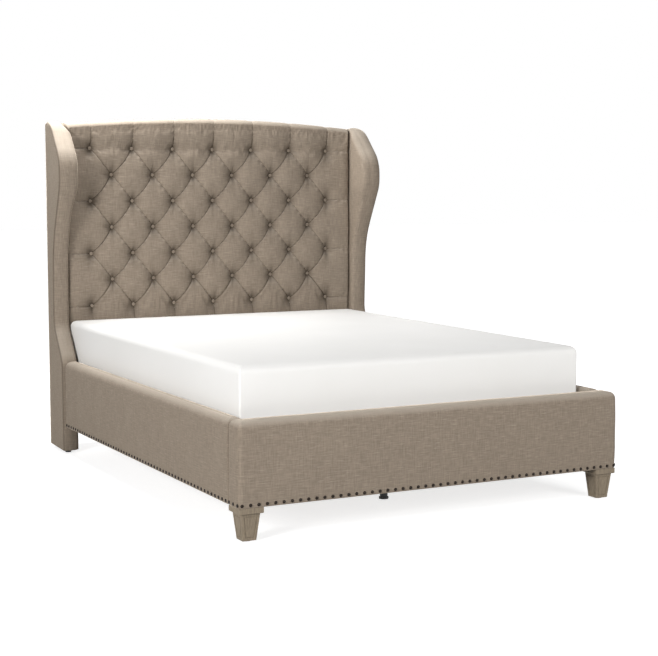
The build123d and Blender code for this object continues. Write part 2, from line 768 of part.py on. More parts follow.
with BuildPart() as beam_pockets:
    cheek = beam_width / 2 + fit_gap + pocket_sheet
    for wall, way in ((footboard_back, 1), (panel_back, -1)):
        pocket_y = sorted((wall, wall + way * pocket_length))
        block((-cheek, cheek), pocket_y, (beam_bottom - pocket_sheet, ledge_top - webbing_thickness))
    with BuildSketch(Plane.XY.offset(beam_bottom)):
        channel_middle, channel_length = between(footboard_back + pocket_sheet, panel_back - pocket_sheet)
        with Locations((0, channel_middle)):
            Rectangle(beam_width + 2 * fit_gap, channel_length)
    extrude(amount=beam_depth, mode=Mode.SUBTRACT)
pieces["beam_pockets"] = beam_pockets

# Centre legs under the beam, each with a levelling glide that screws out of its lower end
leg_foot = leveller_disc_height + soft_gap
leg_run = beam_head_end - beam_foot_end
leg_places = []
for index in range(centre_leg_count):
    share = centre_leg_end_share + (1 - 2 * centre_leg_end_share) * index / (centre_leg_count - 1)
    leg_places.append(beam_foot_end + share * leg_run)

with BuildPart() as centre_legs:
    for y in leg_places:
        rod((0, y, leg_foot), (0, 0, 1), centre_leg_radius, beam_bottom - leg_foot, sides=glide_sides)
        plate_x = (-centre_leg_plate / 2, centre_leg_plate / 2)
        plate_y = (y - centre_leg_plate / 2, y + centre_leg_plate / 2)
        block(plate_x, plate_y, (beam_bottom - centre_leg_plate_sheet, beam_bottom))
    with BuildSketch(Plane.XY.offset(leg_foot)):
        with Locations(*[(0, y) for y in leg_places]):
            RegularPolygon(leveller_stem_radius + leveller_running_gap, glide_sides)
    extrude(amount=leveller_bore_depth, mode=Mode.SUBTRACT)
pieces["centre_legs"] = centre_legs

for number, y in enumerate(leg_places, start=1):
    with BuildPart() as leveller:
        rod((0, y, 0), (0, 0, 1), leveller_disc_radius, leveller_disc_height, sides=glide_sides)
        stem_start = (0, y, leveller_disc_height)
        rod(stem_start, (0, 0, 1), leveller_stem_radius, leveller_stem_length, sides=glide_sides)
    pieces["leveller_" + str(number)] = leveller

# Mattress: a rounded slab with a slight crown along its length, lying on the slats
with BuildPart() as mattress:
    mattress_bottom = slat_deck_height + soft_gap
    mattress_middle = (mattress_front + mattress_back) / 2
    with BuildSketch(Plane(origin=(0, mattress_middle, mattress_bottom))):
        RectangleRounded(mattress_width, mattress_length, mattress_corner_radius)
    extrude(amount=mattress_thickness + mattress_crown)
    with BuildSketch(front_plane(mattress_back + cut_overrun)):
        with BuildLine():
            half = mattress_width / 2
            edge_top = mattress_bottom + mattress_thickness
            Polyline((-half, edge_top), (-half, mattress_bottom), (half, mattress_bottom), (half, edge_top))
            ThreePointArc((half, edge_top), (0, edge_top + mattress_crown), (-half, edge_top))
        make_face()
    extrude(amount=mattress_length + 2 * cut_overrun, mode=Mode.INTERSECT)
    long_edges = mattress.edges().filter_by(lambda edge: abs(edge.tangent_at(0.5).Z) < 0.5)
    fillet(long_edges, radius=mattress_edge_radius)
pieces["mattress"] = mattress

for name, piece in pieces.items():
    piece.part.label = name
    export_step(piece.part, "parts/" + name + ".step")
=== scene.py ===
import math
import bpy
import numpy as np
from mathutils import Matrix, Vector


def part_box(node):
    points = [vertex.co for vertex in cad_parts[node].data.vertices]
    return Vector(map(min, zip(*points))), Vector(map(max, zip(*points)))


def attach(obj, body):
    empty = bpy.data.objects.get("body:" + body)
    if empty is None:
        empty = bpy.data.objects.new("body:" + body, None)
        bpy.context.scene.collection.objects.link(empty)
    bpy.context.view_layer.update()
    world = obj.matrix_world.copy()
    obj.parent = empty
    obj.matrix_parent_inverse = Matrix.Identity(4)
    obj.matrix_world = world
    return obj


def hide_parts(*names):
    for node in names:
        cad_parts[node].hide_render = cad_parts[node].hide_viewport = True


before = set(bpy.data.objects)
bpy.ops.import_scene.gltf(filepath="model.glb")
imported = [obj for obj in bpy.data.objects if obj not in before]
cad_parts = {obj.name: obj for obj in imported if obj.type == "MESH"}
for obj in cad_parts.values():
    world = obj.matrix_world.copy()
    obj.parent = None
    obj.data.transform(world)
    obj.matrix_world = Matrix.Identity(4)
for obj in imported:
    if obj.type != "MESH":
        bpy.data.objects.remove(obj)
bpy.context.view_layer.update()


# Studio: a pale floor that runs on to a white backdrop, soft lamps at the left, the front and the back, a
# small one above the headboard, and an even sky. The floor is matt white paint and keeps the shadow.
def hex_colour(code):
    parts = [int(code[i:i + 2], 16) / 255 for i in (1, 3, 5)]
    return tuple(c / 12.92 if c <= 0.04045 else ((c + 0.055) / 1.055) ** 2.4 for c in parts) + (1.0,)


def add(tree, kind, feeds=None, **settings):
    """Adds one node. feeds gives a value, or the output that feeds it, for each input."""
    node = tree.nodes.new(kind)
    for name, value in settings.items():
        setattr(node, name, value)
    for socket, value in (feeds or {}).items():
        if isinstance(value, bpy.types.NodeSocket):
            tree.links.new(value, node.inputs[socket])
        else:
            node.inputs[socket].default_value = value
    return node


def start_material(name, uv_map=None):
    """A new material, its tree, and the places its pattern reads: the object's own, or those of a UV map."""
    material = bpy.data.materials.new(name)
    material.use_nodes = True
    tree = material.node_tree
    tree.nodes.clear()
    if uv_map:
        return material, tree, add(tree, "ShaderNodeUVMap", uv_map=uv_map).outputs[0]
    return material, tree, add(tree, "ShaderNodeTexCoord").outputs["Object"]


def ray_is(tree, *kinds):
    """1 for a ray of any of these kinds, and 0 for the others."""
    rays = add(tree, "ShaderNodeLightPath")
    found = rays.outputs[kinds[0]]
    for kind in kinds[1:]:
        found = add(tree, "ShaderNodeMath", {0: found, 1: rays.outputs[kind]}, operation="MAXIMUM").outputs[0]
    return found


scene = bpy.context.scene
scene.view_settings.view_transform = "Standard"

floor_half, shadow_within, white_beyond = 30.0, 2.0, 4.5
floor_paint, tree, place = start_material("matt_white_floor_paint")
paint = add(tree, "ShaderNodeBsdfPrincipled", {"Base Color": hex_colour("#cfcfcf"), "Roughness": 0.9})
away = add(tree, "ShaderNodeVectorMath", {0: place}, operation="LENGTH")
fade = add(tree, "ShaderNodeMapRange", {"Value": away.outputs["Value"], "From Min": shadow_within,
                                        "From Max": white_beyond, "To Min": 0.75, "To Max": 1.0})
seen = ray_is(tree, "Is Camera Ray", "Is Glossy Ray")
lift = add(tree, "ShaderNodeMath", {0: seen, 1: fade.outputs[0]}, operation="MULTIPLY")
glow = add(tree, "ShaderNodeEmission", {"Color": (1, 1, 1, 1), "Strength": lift.outputs[0]})
lit = add(tree, "ShaderNodeAddShader", {0: paint.outputs[0], 1: glow.outputs[0]})
add(tree, "ShaderNodeOutputMaterial", {"Surface": lit.outputs[0]})

floor_mesh = bpy.data.meshes.new("studio_floor")
floor_mesh.from_pydata([(x * floor_half, y * floor_half, 0) for x, y in ((-1, -1), (1, -1), (1, 1), (-1, 1))],
                       [], [(0, 1, 2, 3)])
studio_floor = bpy.data.objects.new("studio_floor", floor_mesh)
scene.collection.objects.link(studio_floor)
floor_mesh.materials.append(floor_paint)

sky = bpy.data.worlds.new("even_sky")
scene.world = sky
sky.use_nodes = True
tree = sky.node_tree
tree.nodes.clear()
seen = ray_is(tree, "Is Camera Ray", "Is Glossy Ray", "Is Transmission Ray")
soft = add(tree, "ShaderNodeBackground", {"Color": hex_colour("#fbfbff"), "Strength": 0.05})
white = add(tree, "ShaderNodeBackground", {"Color": (1, 1, 1, 1), "Strength": 1.0})
both = add(tree, "ShaderNodeMixShader", {0: seen, 1: soft.outputs[0], 2: white.outputs[0]})
add(tree, "ShaderNodeOutputWorld", {"Surface": both.outputs[0]})

lamp_aim = Vector((0.1, 0.2, 0.7))
for name, place, size, power in (
    ("side_softbox", (-6.0, -3.6, 2.6), 2.0, 370),
    ("front_softbox", (1.5, -6.8, 2.5), 2.5, 235),
    ("head_softbox", (-0.68, 1.02, 2.6), 0.7, 50),
    ("back_softbox", (2.2, 5.4, 2.4), 2.0, 110),
):
    lamp = bpy.data.lights.new(name, "AREA")
    lamp.shape, lamp.size, lamp.energy = "SQUARE", size, power
    holder = bpy.data.objects.new(name, lamp)
    aim = lamp_aim - Vector(place)
    holder.matrix_world = Matrix.Translation(place) @ aim.to_track_quat("-Z", "Y").to_matrix().to_4x4()
    holder.visible_camera = False
    scene.collection.objects.link(holder)


# Camera: an 83 mm lens on a 36 mm sensor, 1.3 m up and 29 degrees round to the left of the foot end. It
# looks down by 5.7 degrees.
camera_place = (-2.96207, -5.99802, 1.30281)
yaw, pitch, roll = 0.50605, 0.098845, 0.0034907
focal_length, sensor_width, frame_shift = 82.66, 36.0, -0.0775
look = Vector((math.sin(yaw) * math.cos(pitch), math.cos(yaw) * math.cos(pitch), -math.sin(pitch)))
level_right = Vector((math.cos(yaw), -math.sin(yaw), 0.0))
level_up = level_right.cross(look)
right = math.cos(roll) * level_right + math.sin(roll) * level_up
up = -math.sin(roll) * level_right + math.cos(roll) * level_up
lens = bpy.data.cameras.new("catalogue_camera")
lens.lens, lens.sensor_width, lens.shift_x = focal_length, sensor_width, frame_shift
camera = bpy.data.objects.new("catalogue_camera", lens)
camera.matrix_world = Matrix.Translation(camera_place) @ Matrix((right, up, -look)).transposed().to_4x4()
scene.collection.objects.link(camera)
scene.camera = camera


# Headboard pad: one panel of slubbed linen over foam, deep tufted into diamonds, rolled over the arched
# top edge and pulled back to a plywood panel. Folds run from button to button; the fabric rises in a
# pillow between them, and pleats run from the outer buttons to the edges.
pad_half_width, pad_bottom, pad_top, arch_rise = 0.7615, 0.300, 1.594, 0.036
pad_front, pad_back = 1.070, 1.132
column_pitch, row_pitch, top_row = 0.212, 0.127, 1.442
outer_column = 3 * column_pitch
top_round, side_round = 0.024, 0.008
face_half_width, face_bottom = pad_half_width - side_round, pad_bottom + side_round
fold_height, pillow_puff, fold_notch, fold_sag = 0.023, 0.006, 0.0045, 0.0065
notch_reach, roll_height, roll_offset, faintest_fold = 0.0013, 0.0016, 0.004, 0.4
button_radius, dimple_reach, lip_height, lip_reach = 0.012, 0.030, 0.007, 0.010
button_level = pad_front + 0.0240
slow_wave, small_wave = 0.0010, 0.0006
mattress_line, mattress_ease, pressed_share = 0.60, 0.10, 0.68
# Creases at a button: the way each runs, in degrees, and its strength; then their sizes.
gather_ways = ((92, 1.2), (268, 1.0), (180, 0.5), (135, 0.35), (62, 0.2), (240, 0.3))
gather_depth, gather_start, gather_steep, gather_slack = 0.009, 0.004, 0.0035, 0.011
gather_length, gather_sway, gather_wave = (0.028, 0.042), 0.0015, 0.011
# Painted shade: the colour darkens round a button's rim, and far to its left, above and below, where shade
# falls.
rim_shade, rim_shade_reach, well_shade, gather_shade = 0.35, 0.008, 0.75, 0.15
well_right, well_left, well_high = 0.010, 0.034, 0.036


def linen_cloth():
    """Woven slub linen blend, taupe: matt, with light uneven threads both ways that catch the light."""
    material, tree, flat = start_material("woven_slub_linen_taupe", "cloth_metres")
    # Real threads are 0.6 mm apart. The weave is drawn 5 mm apart, the finest that shows at this distance.
    threads = []
    for turn, grain in ((0.0, (210, 20, 1)), (1.0, (20, 210, 1))):
        place = add(tree, "ShaderNodeMapping", {0: flat, "Location": (turn * 3.1, turn * 1.7, 0),
                                               "Scale": grain})
        slub = add(tree, "ShaderNodeTexNoise", {"Vector": place.outputs[0], "Scale": 1.0, "Detail": 2.0,
                                               "Roughness": 0.6})
        threads.append(add(tree, "ShaderNodeMapRange", {"Value": slub.outputs[0], "From Min": 0.3,
                                                       "From Max": 0.72}).outputs[0])
    crossing = add(tree, "ShaderNodeMath", {0: threads[0], 1: threads[1]}, operation="ADD")
    weave = add(tree, "ShaderNodeMapRange", {"Value": crossing.outputs[0], "From Min": 0.35, "From Max": 1.9})
    # The dye drifts a little over 200 mm.
    cloud = add(tree, "ShaderNodeTexNoise", {"Vector": flat, "Scale": 5.0, "Detail": 2.0})
    tint = add(tree, "ShaderNodeMix", {0: cloud.outputs[0], 6: hex_colour("#776b5f"),
                                       7: hex_colour("#807466")}, data_type="RGBA")
    woven = add(tree, "ShaderNodeMix", {0: weave.outputs[0], 6: tint.outputs[2], 7: hex_colour("#928576")},
                data_type="RGBA")
    # Thicker slubs, drawn 4 mm wide to show, run along the weft for 40 mm or so.
    place = add(tree, "ShaderNodeMapping", {0: flat, "Scale": (26, 250, 1)})
    slub = add(tree, "ShaderNodeTexNoise", {"Vector": place.outputs[0], "Scale": 1.0, "Detail": 1.0})
    thick = add(tree, "ShaderNodeMapRange", {"Value": slub.outputs[0], "From Min": 0.58, "From Max": 0.76,
                                             "To Max": 0.45})
    spun = add(tree, "ShaderNodeMix", {0: thick.outputs[0], 6: woven.outputs[2], 7: hex_colour("#a59a8b")},
               data_type="RGBA")
    # Painted light: faces that turn up are mixed towards a paler colour, as if lit from above.
    turned = add(tree, "ShaderNodeSeparateXYZ", {0: add(tree, "ShaderNodeNewGeometry").outputs["Normal"]})
    painted_top_light = add(tree, "ShaderNodeMapRange", {"Value": turned.outputs[2], "From Min": 0.25, "From Max": 0.95,
                                             "To Max": 0.7})
    top_lit_colour = add(tree, "ShaderNodeMix", {0: painted_top_light.outputs[0], 6: spun.outputs[2], 7: hex_colour("#bcb1a3")},
               data_type="RGBA")
    # Painted shade: the colour goes to dark brown where the piece's painted shade attribute is high.
    painted_shade = add(tree, "ShaderNodeAttribute", attribute_name="painted_shade")
    shade = add(tree, "ShaderNodeMix", {0: painted_shade.outputs["Fac"], 6: top_lit_colour.outputs[2], 7: hex_colour("#3c3329")},
                data_type="RGBA")
    bump = add(tree, "ShaderNodeBump", {"Strength": 0.3, "Distance": 0.001, "Height": crossing.outputs[0]})
    cloth = add(tree, "ShaderNodeBsdfPrincipled", {
        "Base Color": shade.outputs[2], "Roughness": 0.92, "Sheen Weight": 1.0, "Sheen Roughness": 0.3,
        "Sheen Tint": hex_colour("#e0d2c0"), "Specular IOR Level": 0.25, "Normal": bump.outputs[0]})
    add(tree, "ShaderNodeOutputMaterial", {"Surface": cloth.outputs[0]})
    return material


linen = linen_cloth()


def weave_map(mesh, upright=False):
    """Lays the weave on each face in metres, along the two world axes that the face lies nearest to. A face
    between two ways counts as front or back, so that a pillow's weave runs one way all over."""
    favour = (1.0, 1.6, 1.02)
    count = len(mesh.polygons)
    normals = np.empty(count * 3)
    mesh.polygons.foreach_get("normal", normals)
    axis = (np.abs(normals.reshape(-1, 3)) * favour).argmax(axis=1)
    totals = np.empty(count, int)
    mesh.polygons.foreach_get("loop_total", totals)
    vertex = np.empty(len(mesh.loops), int)
    mesh.loops.foreach_get("vertex_index", vertex)
    points = np.empty(len(mesh.vertices) * 3)
    mesh.vertices.foreach_get("co", points)
    pairs = np.array(((1, 2), (0, 2), (0, 1)))[np.repeat(axis, totals)]
    flat = np.take_along_axis(points.reshape(-1, 3)[vertex], pairs, axis=1)
    layer = mesh.uv_layers.new(name="cloth_metres")
    layer.data.foreach_set("uv", (flat[:, ::-1] if upright else flat).ravel())


def cloth_piece(name, points, faces, material, painted_shade=None, upright=False):
    """A finished piece: its points stay in the bed's frame and its object at the origin. Cloth cut upright
    has its weft running up and down."""
    mesh = bpy.data.meshes.new(name)
    mesh.from_pydata([tuple(p) for p in points], [], [tuple(int(i) for i in face) for face in faces])
    mesh.validate()
    mesh.polygons.foreach_set("use_smooth", [True] * len(mesh.polygons))
    if painted_shade is not None:
        mesh.attributes.new("painted_shade", "FLOAT", "POINT").data.foreach_set("value", painted_shade)
    weave_map(mesh, upright)
    mesh.materials.append(material)
    piece = bpy.data.objects.new(name, mesh)
    scene.collection.objects.link(piece)
    return piece


def ripple(seed, count, longest, shortest):
    """A smooth random surface, about -1 to 1, as a function of points; the same for the same seed."""
    rng = np.random.default_rng(seed)
    lengths = np.exp(rng.uniform(math.log(shortest), math.log(longest), count))
    ways = rng.normal(size=(count, 3))
    ways *= (2 * math.pi / lengths / np.linalg.norm(ways, axis=1))[:, None]
    phases = rng.uniform(0, 2 * math.pi, count)
    return lambda points: np.cos(points @ ways.T + phases).sum(axis=1) / math.sqrt(count)


def arch(x):
    return pad_top - arch_rise * (x / pad_half_width) ** 2


def face_top(x):
    """Where the pad's face ends and its rolled top edge begins."""
    return arch(x) - top_round


def crowd(count, ends=0.88):
    """Shares from 0 to 1 that lie closer together near both ends, where the folds are."""
    even = np.linspace(0, 1, count + 1)
    return (1 - ends) * even + ends * (0.5 - 0.5 * np.cos(math.pi * even))


def bow(share):
    return 4 * share * (1 - share)


def smooth(share):
    return share * share * (3 - 2 * share)


def pad_patches(fold_steps):
    """The pad's face as grids that meet at folds and pleats. Each point holds x, z, how far its pillow is
    puffed, its distance from the nearest fold or pleat, how far the folds there sag, how crisp they are, and
    how much it lies on the small roll of cloth that each rising fold tucks under."""
    half = column_pitch / 2
    share = crowd(fold_steps)
    rows = [top_row - row_pitch * r for r in range(7)]
    fold_gap = 2 * half * row_pitch / math.hypot(half, row_pitch)
    beside_pleat, beside_level, corner_ease = 0.64, 0.77, 0.05
    patches = []

    def keep(*columns):
        patches.append(np.stack(np.broadcast_arrays(*columns), axis=-1))

    def keep_pleated(x, z, along, out, gap, crisp):
        keep(x, z, bow(along * 0.5) * (1 - (1 - out) ** 2), gap, (1 - out) ** 2 * bow(along), crisp, 0.0)

    for r in range(5):
        centres = range(-2, 3) if r % 2 == 0 else range(-3, 3)
        shift = 0 if r % 2 == 0 else half
        a, b = np.meshgrid(share, share, indexing="ij")
        falling, rising = np.minimum(a, 1 - a), np.minimum(b, 1 - b)
        sag = 1 - (1 - bow(a)) * (1 - bow(b))
        crisp = np.where(falling < rising, faintest_fold + (1 - faintest_fold) * b, 1.0)
        off = b * fold_gap / roll_offset
        roll = off * np.exp(1 - off) * bow(a) ** 0.5
        for k in centres:
            keep(column_pitch * k + shift + half * (b - a), rows[r] - row_pitch * (a + b), bow(a) * bow(b),
                 fold_gap * np.minimum(falling, rising), sag, crisp, roll)
    double = np.concatenate((share, 1 + share[1:]))
    dip = 1 - np.abs(double - 1)
    upright = crowd(fold_steps * 3 // 4, 0.6)
    across = crowd(fold_steps * 5 // 8, 0.6)
    for k in range(-3, 3):
        x = column_pitch * k + half * double
        for edge, way, row in ((face_top(x), -1, rows[0]), (face_bottom + 0 * x, 1, rows[6])):
            fold = row + way * row_pitch * dip
            z = fold[:, None] + (edge - fold)[:, None] * upright[None, :]
            along, out = dip[:, None], upright[None, :]
            gap = np.minimum(out * np.abs(edge - fold)[:, None] * beside_pleat, half * along)
            crisp = np.where(double < 1, faintest_fold + (1 - faintest_fold) * double, 1.0)[:, None]
            keep_pleated(x[:, None], z, along, out, gap, crisp)
    for side in (-1, 1):
        edge = side * face_half_width
        for r in (0, 2, 4):
            z = (rows[r] - row_pitch * double)[:, None]
            fold = side * (outer_column - half * dip)
            x = fold[:, None] + (edge - fold)[:, None] * across[None, :]
            along, out = dip[:, None], across[None, :]
            gap = np.minimum(out * np.abs(edge - fold)[:, None] * beside_level, row_pitch * along)
            keep_pleated(x, z, along, out, gap, 1.0)
        for bottom, row in ((False, rows[0]), (True, rows[6])):
            x = side * (outer_column + (face_half_width - outer_column) * across)
            end = face_bottom + 0 * x if bottom else face_top(x)
            z = row + (end - row)[:, None] * upright[None, :]
            gap_x, gap_z = np.abs(x - side * outer_column)[:, None], np.abs(z - row)
            puff = np.tanh(gap_x / corner_ease) * np.tanh(gap_z / corner_ease)
            keep(x[:, None], z, puff, np.minimum(gap_x, gap_z), 0.0, 1.0, 0.0)
    return patches


def grid_quads(grid):
    return np.stack((grid[:-1, :-1], grid[1:, :-1], grid[1:, 1:], grid[:-1, 1:]), -1).reshape(-1, 4)


def weld(patches):
    """Joins the grids along their shared edges, and returns the points, the quads and each grid's rows."""
    places_per_metre = 20000
    flat = np.concatenate([p.reshape(-1, p.shape[-1]) for p in patches])
    keys = np.round(flat[:, :2] * places_per_metre).astype(int)
    _, first, back = np.unique(keys, axis=0, return_index=True, return_inverse=True)
    rows, start = [], 0
    for patch in patches:
        m, n = patch.shape[:2]
        rows.append(back.ravel()[start:start + m * n].reshape(m, n))
        start += m * n
    return flat[first], np.concatenate([grid_quads(grid) for grid in rows]), rows


def facing_front(points, quads):
    """Turns each quad so that it faces the bed's foot end."""
    a, b, c = points[quads[:, 0]], points[quads[:, 1]], points[quads[:, 2]]
    wrong = np.cross(b - a, c - b)[:, 1] > 0
    quads = quads.copy()
    quads[wrong] = quads[wrong][:, ::-1]
    return quads


def outer_loop(quads):
    """The mesh's open edge as one loop of points, in the order the faces turn."""
    edges = np.concatenate([quads[:, (i, (i + 1) % 4)] for i in range(4)])
    present = {(int(a), int(b)) for a, b in edges}
    after = {a: b for a, b in present if (b, a) not in present}
    start = min(after)
    loop = [start]
    while after[loop[-1]] != start:
        loop.append(after[loop[-1]])
    return loop


def button_gathers():
    """Short creases that run out from each button: its place, direction, strength, length and wave."""
    rng = np.random.default_rng(5)
    for bx, bz in buttons:
        for turn, strength in gather_ways:
            turn = math.radians(turn + rng.normal() * 6)
            strength *= rng.uniform(0.7, 1.2)
            yield bx, bz, turn, strength, rng.uniform(*gather_length), rng.uniform(0, 6)


def pad_relief(grid, creased):
    """The pad's points, pulled in at buttons and risen between folds, and the painted shade on each."""
    x, z, puff, gap, sag, crisp, roll = grid.T
    near = np.min([np.hypot(x - bx, z - bz) for bx, bz in buttons], axis=0)
    gather = np.zeros(len(x))
    for bx, bz, turn, strength, length, wave in button_gathers():
        along = (x - bx) * math.cos(turn) + (z - bz) * math.sin(turn) - button_radius
        aside = (x - bx) * math.sin(turn) - (z - bz) * math.cos(turn)
        aside += gather_sway * np.sin(along / gather_wave + wave)
        fades = np.exp(-np.maximum(along, 0) / length) * np.clip(along / gather_start, 0, 1)
        wide = np.where(aside * math.sin(turn) > 0, gather_steep, gather_slack)
        gather += strength * fades * np.exp(-np.abs(aside) / wide)
    points = np.stack((x, np.full_like(x, pad_front), z), axis=-1)
    beyond = np.maximum(near - 0.8 * button_radius, 0)
    dimple = 1 - np.exp(-beyond / dimple_reach)
    lip = 1 - np.exp(-beyond / lip_reach)
    # The mattress presses the pad's lower part flatter.
    free = smooth(np.clip((z - mattress_line) / mattress_ease, 0, 1))
    height = (fold_height * dimple + pillow_puff * puff) * (pressed_share + (1 - pressed_share) * free)
    height += lip_height * lip + slow_wave * dimple * ripple(11, 24, 0.45, 0.16)(points)
    # Folds outside the last column are fainter, and all of them fade out at the rolled top edge.
    past_column, fade_from, fade_run = 0.004, 0.010, 0.020
    crisp = crisp * np.where(np.abs(x) > outer_column + past_column, faintest_fold, 1.0)
    crisp *= np.clip((face_top(x) - z + fade_from) / fade_run, 0, 1)
    if creased:
        height -= fold_notch * crisp * dimple * np.exp(-gap / notch_reach) + gather_depth * gather * lip
        height += small_wave * dimple * ripple(12, 40, 0.10, 0.035)(points) + roll_height * roll * dimple
    points[:, 1] = button_level - height
    points[:, 2] -= fold_sag * sag * dimple
    # Painted shade: darker along the folds, round each button's rim, in a wide smudge to its left, and on its
    # creases.
    painted_shade = (1 - 0.35 * dimple) * crisp * np.exp(-(gap / notch_reach) ** 2)
    well = [np.hypot(np.where(x > bx, (x - bx) / well_right, (bx - x) / well_left), (z - bz) / well_high)
            for bx, bz in buttons]
    painted_shade += rim_shade * np.exp(-beyond / rim_shade_reach) + well_shade * np.exp(-np.min(well, axis=0))
    return points, painted_shade + gather_shade * gather


def let_settle(points, quads, held, pressure, slack, reach, frames=20):
    """Cloth simulation. The fabric, cut a little too large, billows between the points that are held.
    Returns how far each point moves, at most reach."""
    mesh = bpy.data.meshes.new("settling_cloth")
    mesh.from_pydata([tuple(p) for p in points], [], [tuple(int(i) for i in q) for q in quads])
    maker = bpy.data.objects.new("settling_cloth", mesh)
    scene.collection.objects.link(maker)
    group = maker.vertex_groups.new(name="held")
    for level in np.unique(np.round(held, 1)):
        group.add([int(i) for i in np.flatnonzero(np.round(held, 1) == level)], float(level), "REPLACE")
    cloth = maker.modifiers.new("settle", "CLOTH")
    fabric = cloth.settings
    fabric.quality, fabric.mass, fabric.air_damping = 5, 0.3, 2.0
    fabric.tension_stiffness, fabric.compression_stiffness, fabric.shear_stiffness = 15, 15, 5
    fabric.bending_stiffness = 0.05
    fabric.use_pressure, fabric.uniform_pressure_force = True, pressure
    fabric.shrink_min, fabric.vertex_group_mass = -slack, "held"
    fabric.effector_weights.gravity = 0
    cloth.point_cache.frame_start, cloth.point_cache.frame_end = 1, frames
    for moment in range(1, frames + 1):
        scene.frame_set(moment)
    settled = maker.evaluated_get(bpy.context.evaluated_depsgraph_get()).to_mesh()
    moved = np.empty(len(points) * 3)
    settled.vertices.foreach_get("co", moved)
    moved = moved.reshape(-1, 3) - points
    bpy.data.objects.remove(maker)
    scene.frame_set(1)
    far = np.linalg.norm(moved, axis=1)[:, None]
    return moved * reach * np.tanh(far / reach) / np.maximum(far, 1e-9)


def halfway(grid):
    """The same grid twice as fine along its first side, on smooth curves through its points."""
    ends = np.concatenate((2 * grid[:1] - grid[1:2], grid, 2 * grid[-1:] - grid[-2:-1]))
    fine = np.empty((2 * len(grid) - 1,) + grid.shape[1:])
    fine[::2] = grid
    fine[1::2] = (9 * (grid[:-1] + grid[1:]) - ends[:-3] - ends[3:]) / 16
    return fine


buttons = [(column_pitch * k + (column_pitch / 2) * (r % 2), top_row - row_pitch * r)
           for r in range(7) for k in range(-3, 4 - r % 2)]
pad_grid, pad_quads, pad_rows = weld(pad_patches(32))
points, pad_painted_shade = pad_relief(pad_grid, True)
# The cloth is held at folds, buttons, edges and behind the mattress, and loosens away from each.
fold_hold, button_hold, top_hold, held_below = 0.006, 0.022, 0.05, 0.66
cloth_pressure, cloth_slack, furthest_move = 2.0, 0.05, 0.005
coarse_grid, coarse_quads, coarse_rows = weld(pad_patches(16))
start, _ = pad_relief(coarse_grid, False)
coarse_quads = facing_front(start, coarse_quads)
cx, cz, coarse_gap = coarse_grid[:, 0], coarse_grid[:, 1], coarse_grid[:, 3]
held = np.clip(1.2 - coarse_gap / fold_hold, 0, 1)
for bx, bz in buttons:
    held = np.maximum(held, np.clip(1.6 - np.hypot(cx - bx, cz - bz) / button_hold, 0, 1))
held = np.maximum(held, np.clip(1 - (face_top(cx) - cz) / top_hold, 0, 1))
held[np.array(outer_loop(coarse_quads))] = 1.0
held[cz < held_below] = 1.0
moved = let_settle(start, coarse_quads, held, cloth_pressure, cloth_slack, furthest_move)
shift = np.zeros_like(points)
for coarse, fine in zip(coarse_rows, pad_rows):
    shift[fine] = halfway(halfway(moved[coarse]).swapaxes(0, 1)).swapaxes(0, 1)
points += shift
pad_quads = facing_front(points, pad_quads)

# The face's edge rolls back to the panel, in rings of points one behind the other.
roll_turns = (12, 26, 40, 54, 68, 80, 90)
roll_fullness, roll_flattening, corner_blend, panel_middle = 0.006, 0.45, 0.06, 0.9
pleat_nick, nick_reach, touch = 0.0025, 0.016, 1e-4
loop = np.array(outer_loop(pad_quads))
lx, ly, lz = points[loop].T
on_top = np.abs(lz - face_top(lx)) < touch
on_side = np.abs(np.abs(lx) - face_half_width) < touch
on_low = np.abs(lz - face_bottom) < touch
step_x = np.where(on_side, np.sign(lx) * side_round, 0.0)
step_z = np.where(on_top, top_round, 0.0) - np.where(on_low, side_round, 0.0)
step_z -= np.where(on_top, pleat_nick * np.exp(-(pad_grid[loop, 3] / nick_reach) ** 2), 0.0)
near_top = np.clip(1 - (face_top(lx) - lz) / corner_blend, 0, 1)
depth = np.where(on_top, top_round, side_round + (top_round - side_round) * near_top)
all_points, all_faces, all_painted_shade = [points], list(pad_quads), [pad_painted_shade]
previous, total = loop, len(points)
for turn in roll_turns + ("back",):
    bend = math.radians(90 if turn == "back" else turn)
    out = math.sin(bend)
    ring_y = ly + depth * (1 - math.cos(bend)) + (pad_front + roll_fullness - ly) * roll_flattening * out
    if turn == "back":
        ring_y = np.full_like(ly, pad_back)
    fresh = np.arange(total, total + len(loop))
    all_faces += list(np.column_stack((np.roll(previous, -1), previous, fresh, np.roll(fresh, -1))))
    all_points.append(np.column_stack((lx + step_x * out, ring_y, lz + step_z * out)))
    # Painted shade: the folds' shade carries on round the rolled edge, fading as it turns.
    all_painted_shade.append(pad_painted_shade[loop] * math.cos(bend * 0.6))
    previous, total = fresh, total + len(loop)
all_points.append(np.array([(0, pad_back, panel_middle)]))
all_painted_shade.append(np.zeros(1))
all_faces += [(after, before, total) for before, after in zip(previous, np.roll(previous, -1))]
tufted_pad = cloth_piece("tufted_pad", np.concatenate(all_points), all_faces, linen,
                         np.clip(np.concatenate(all_painted_shade), 0, 1))
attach(tufted_pad, "bed_frame")
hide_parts("headboard_tufted_pad")


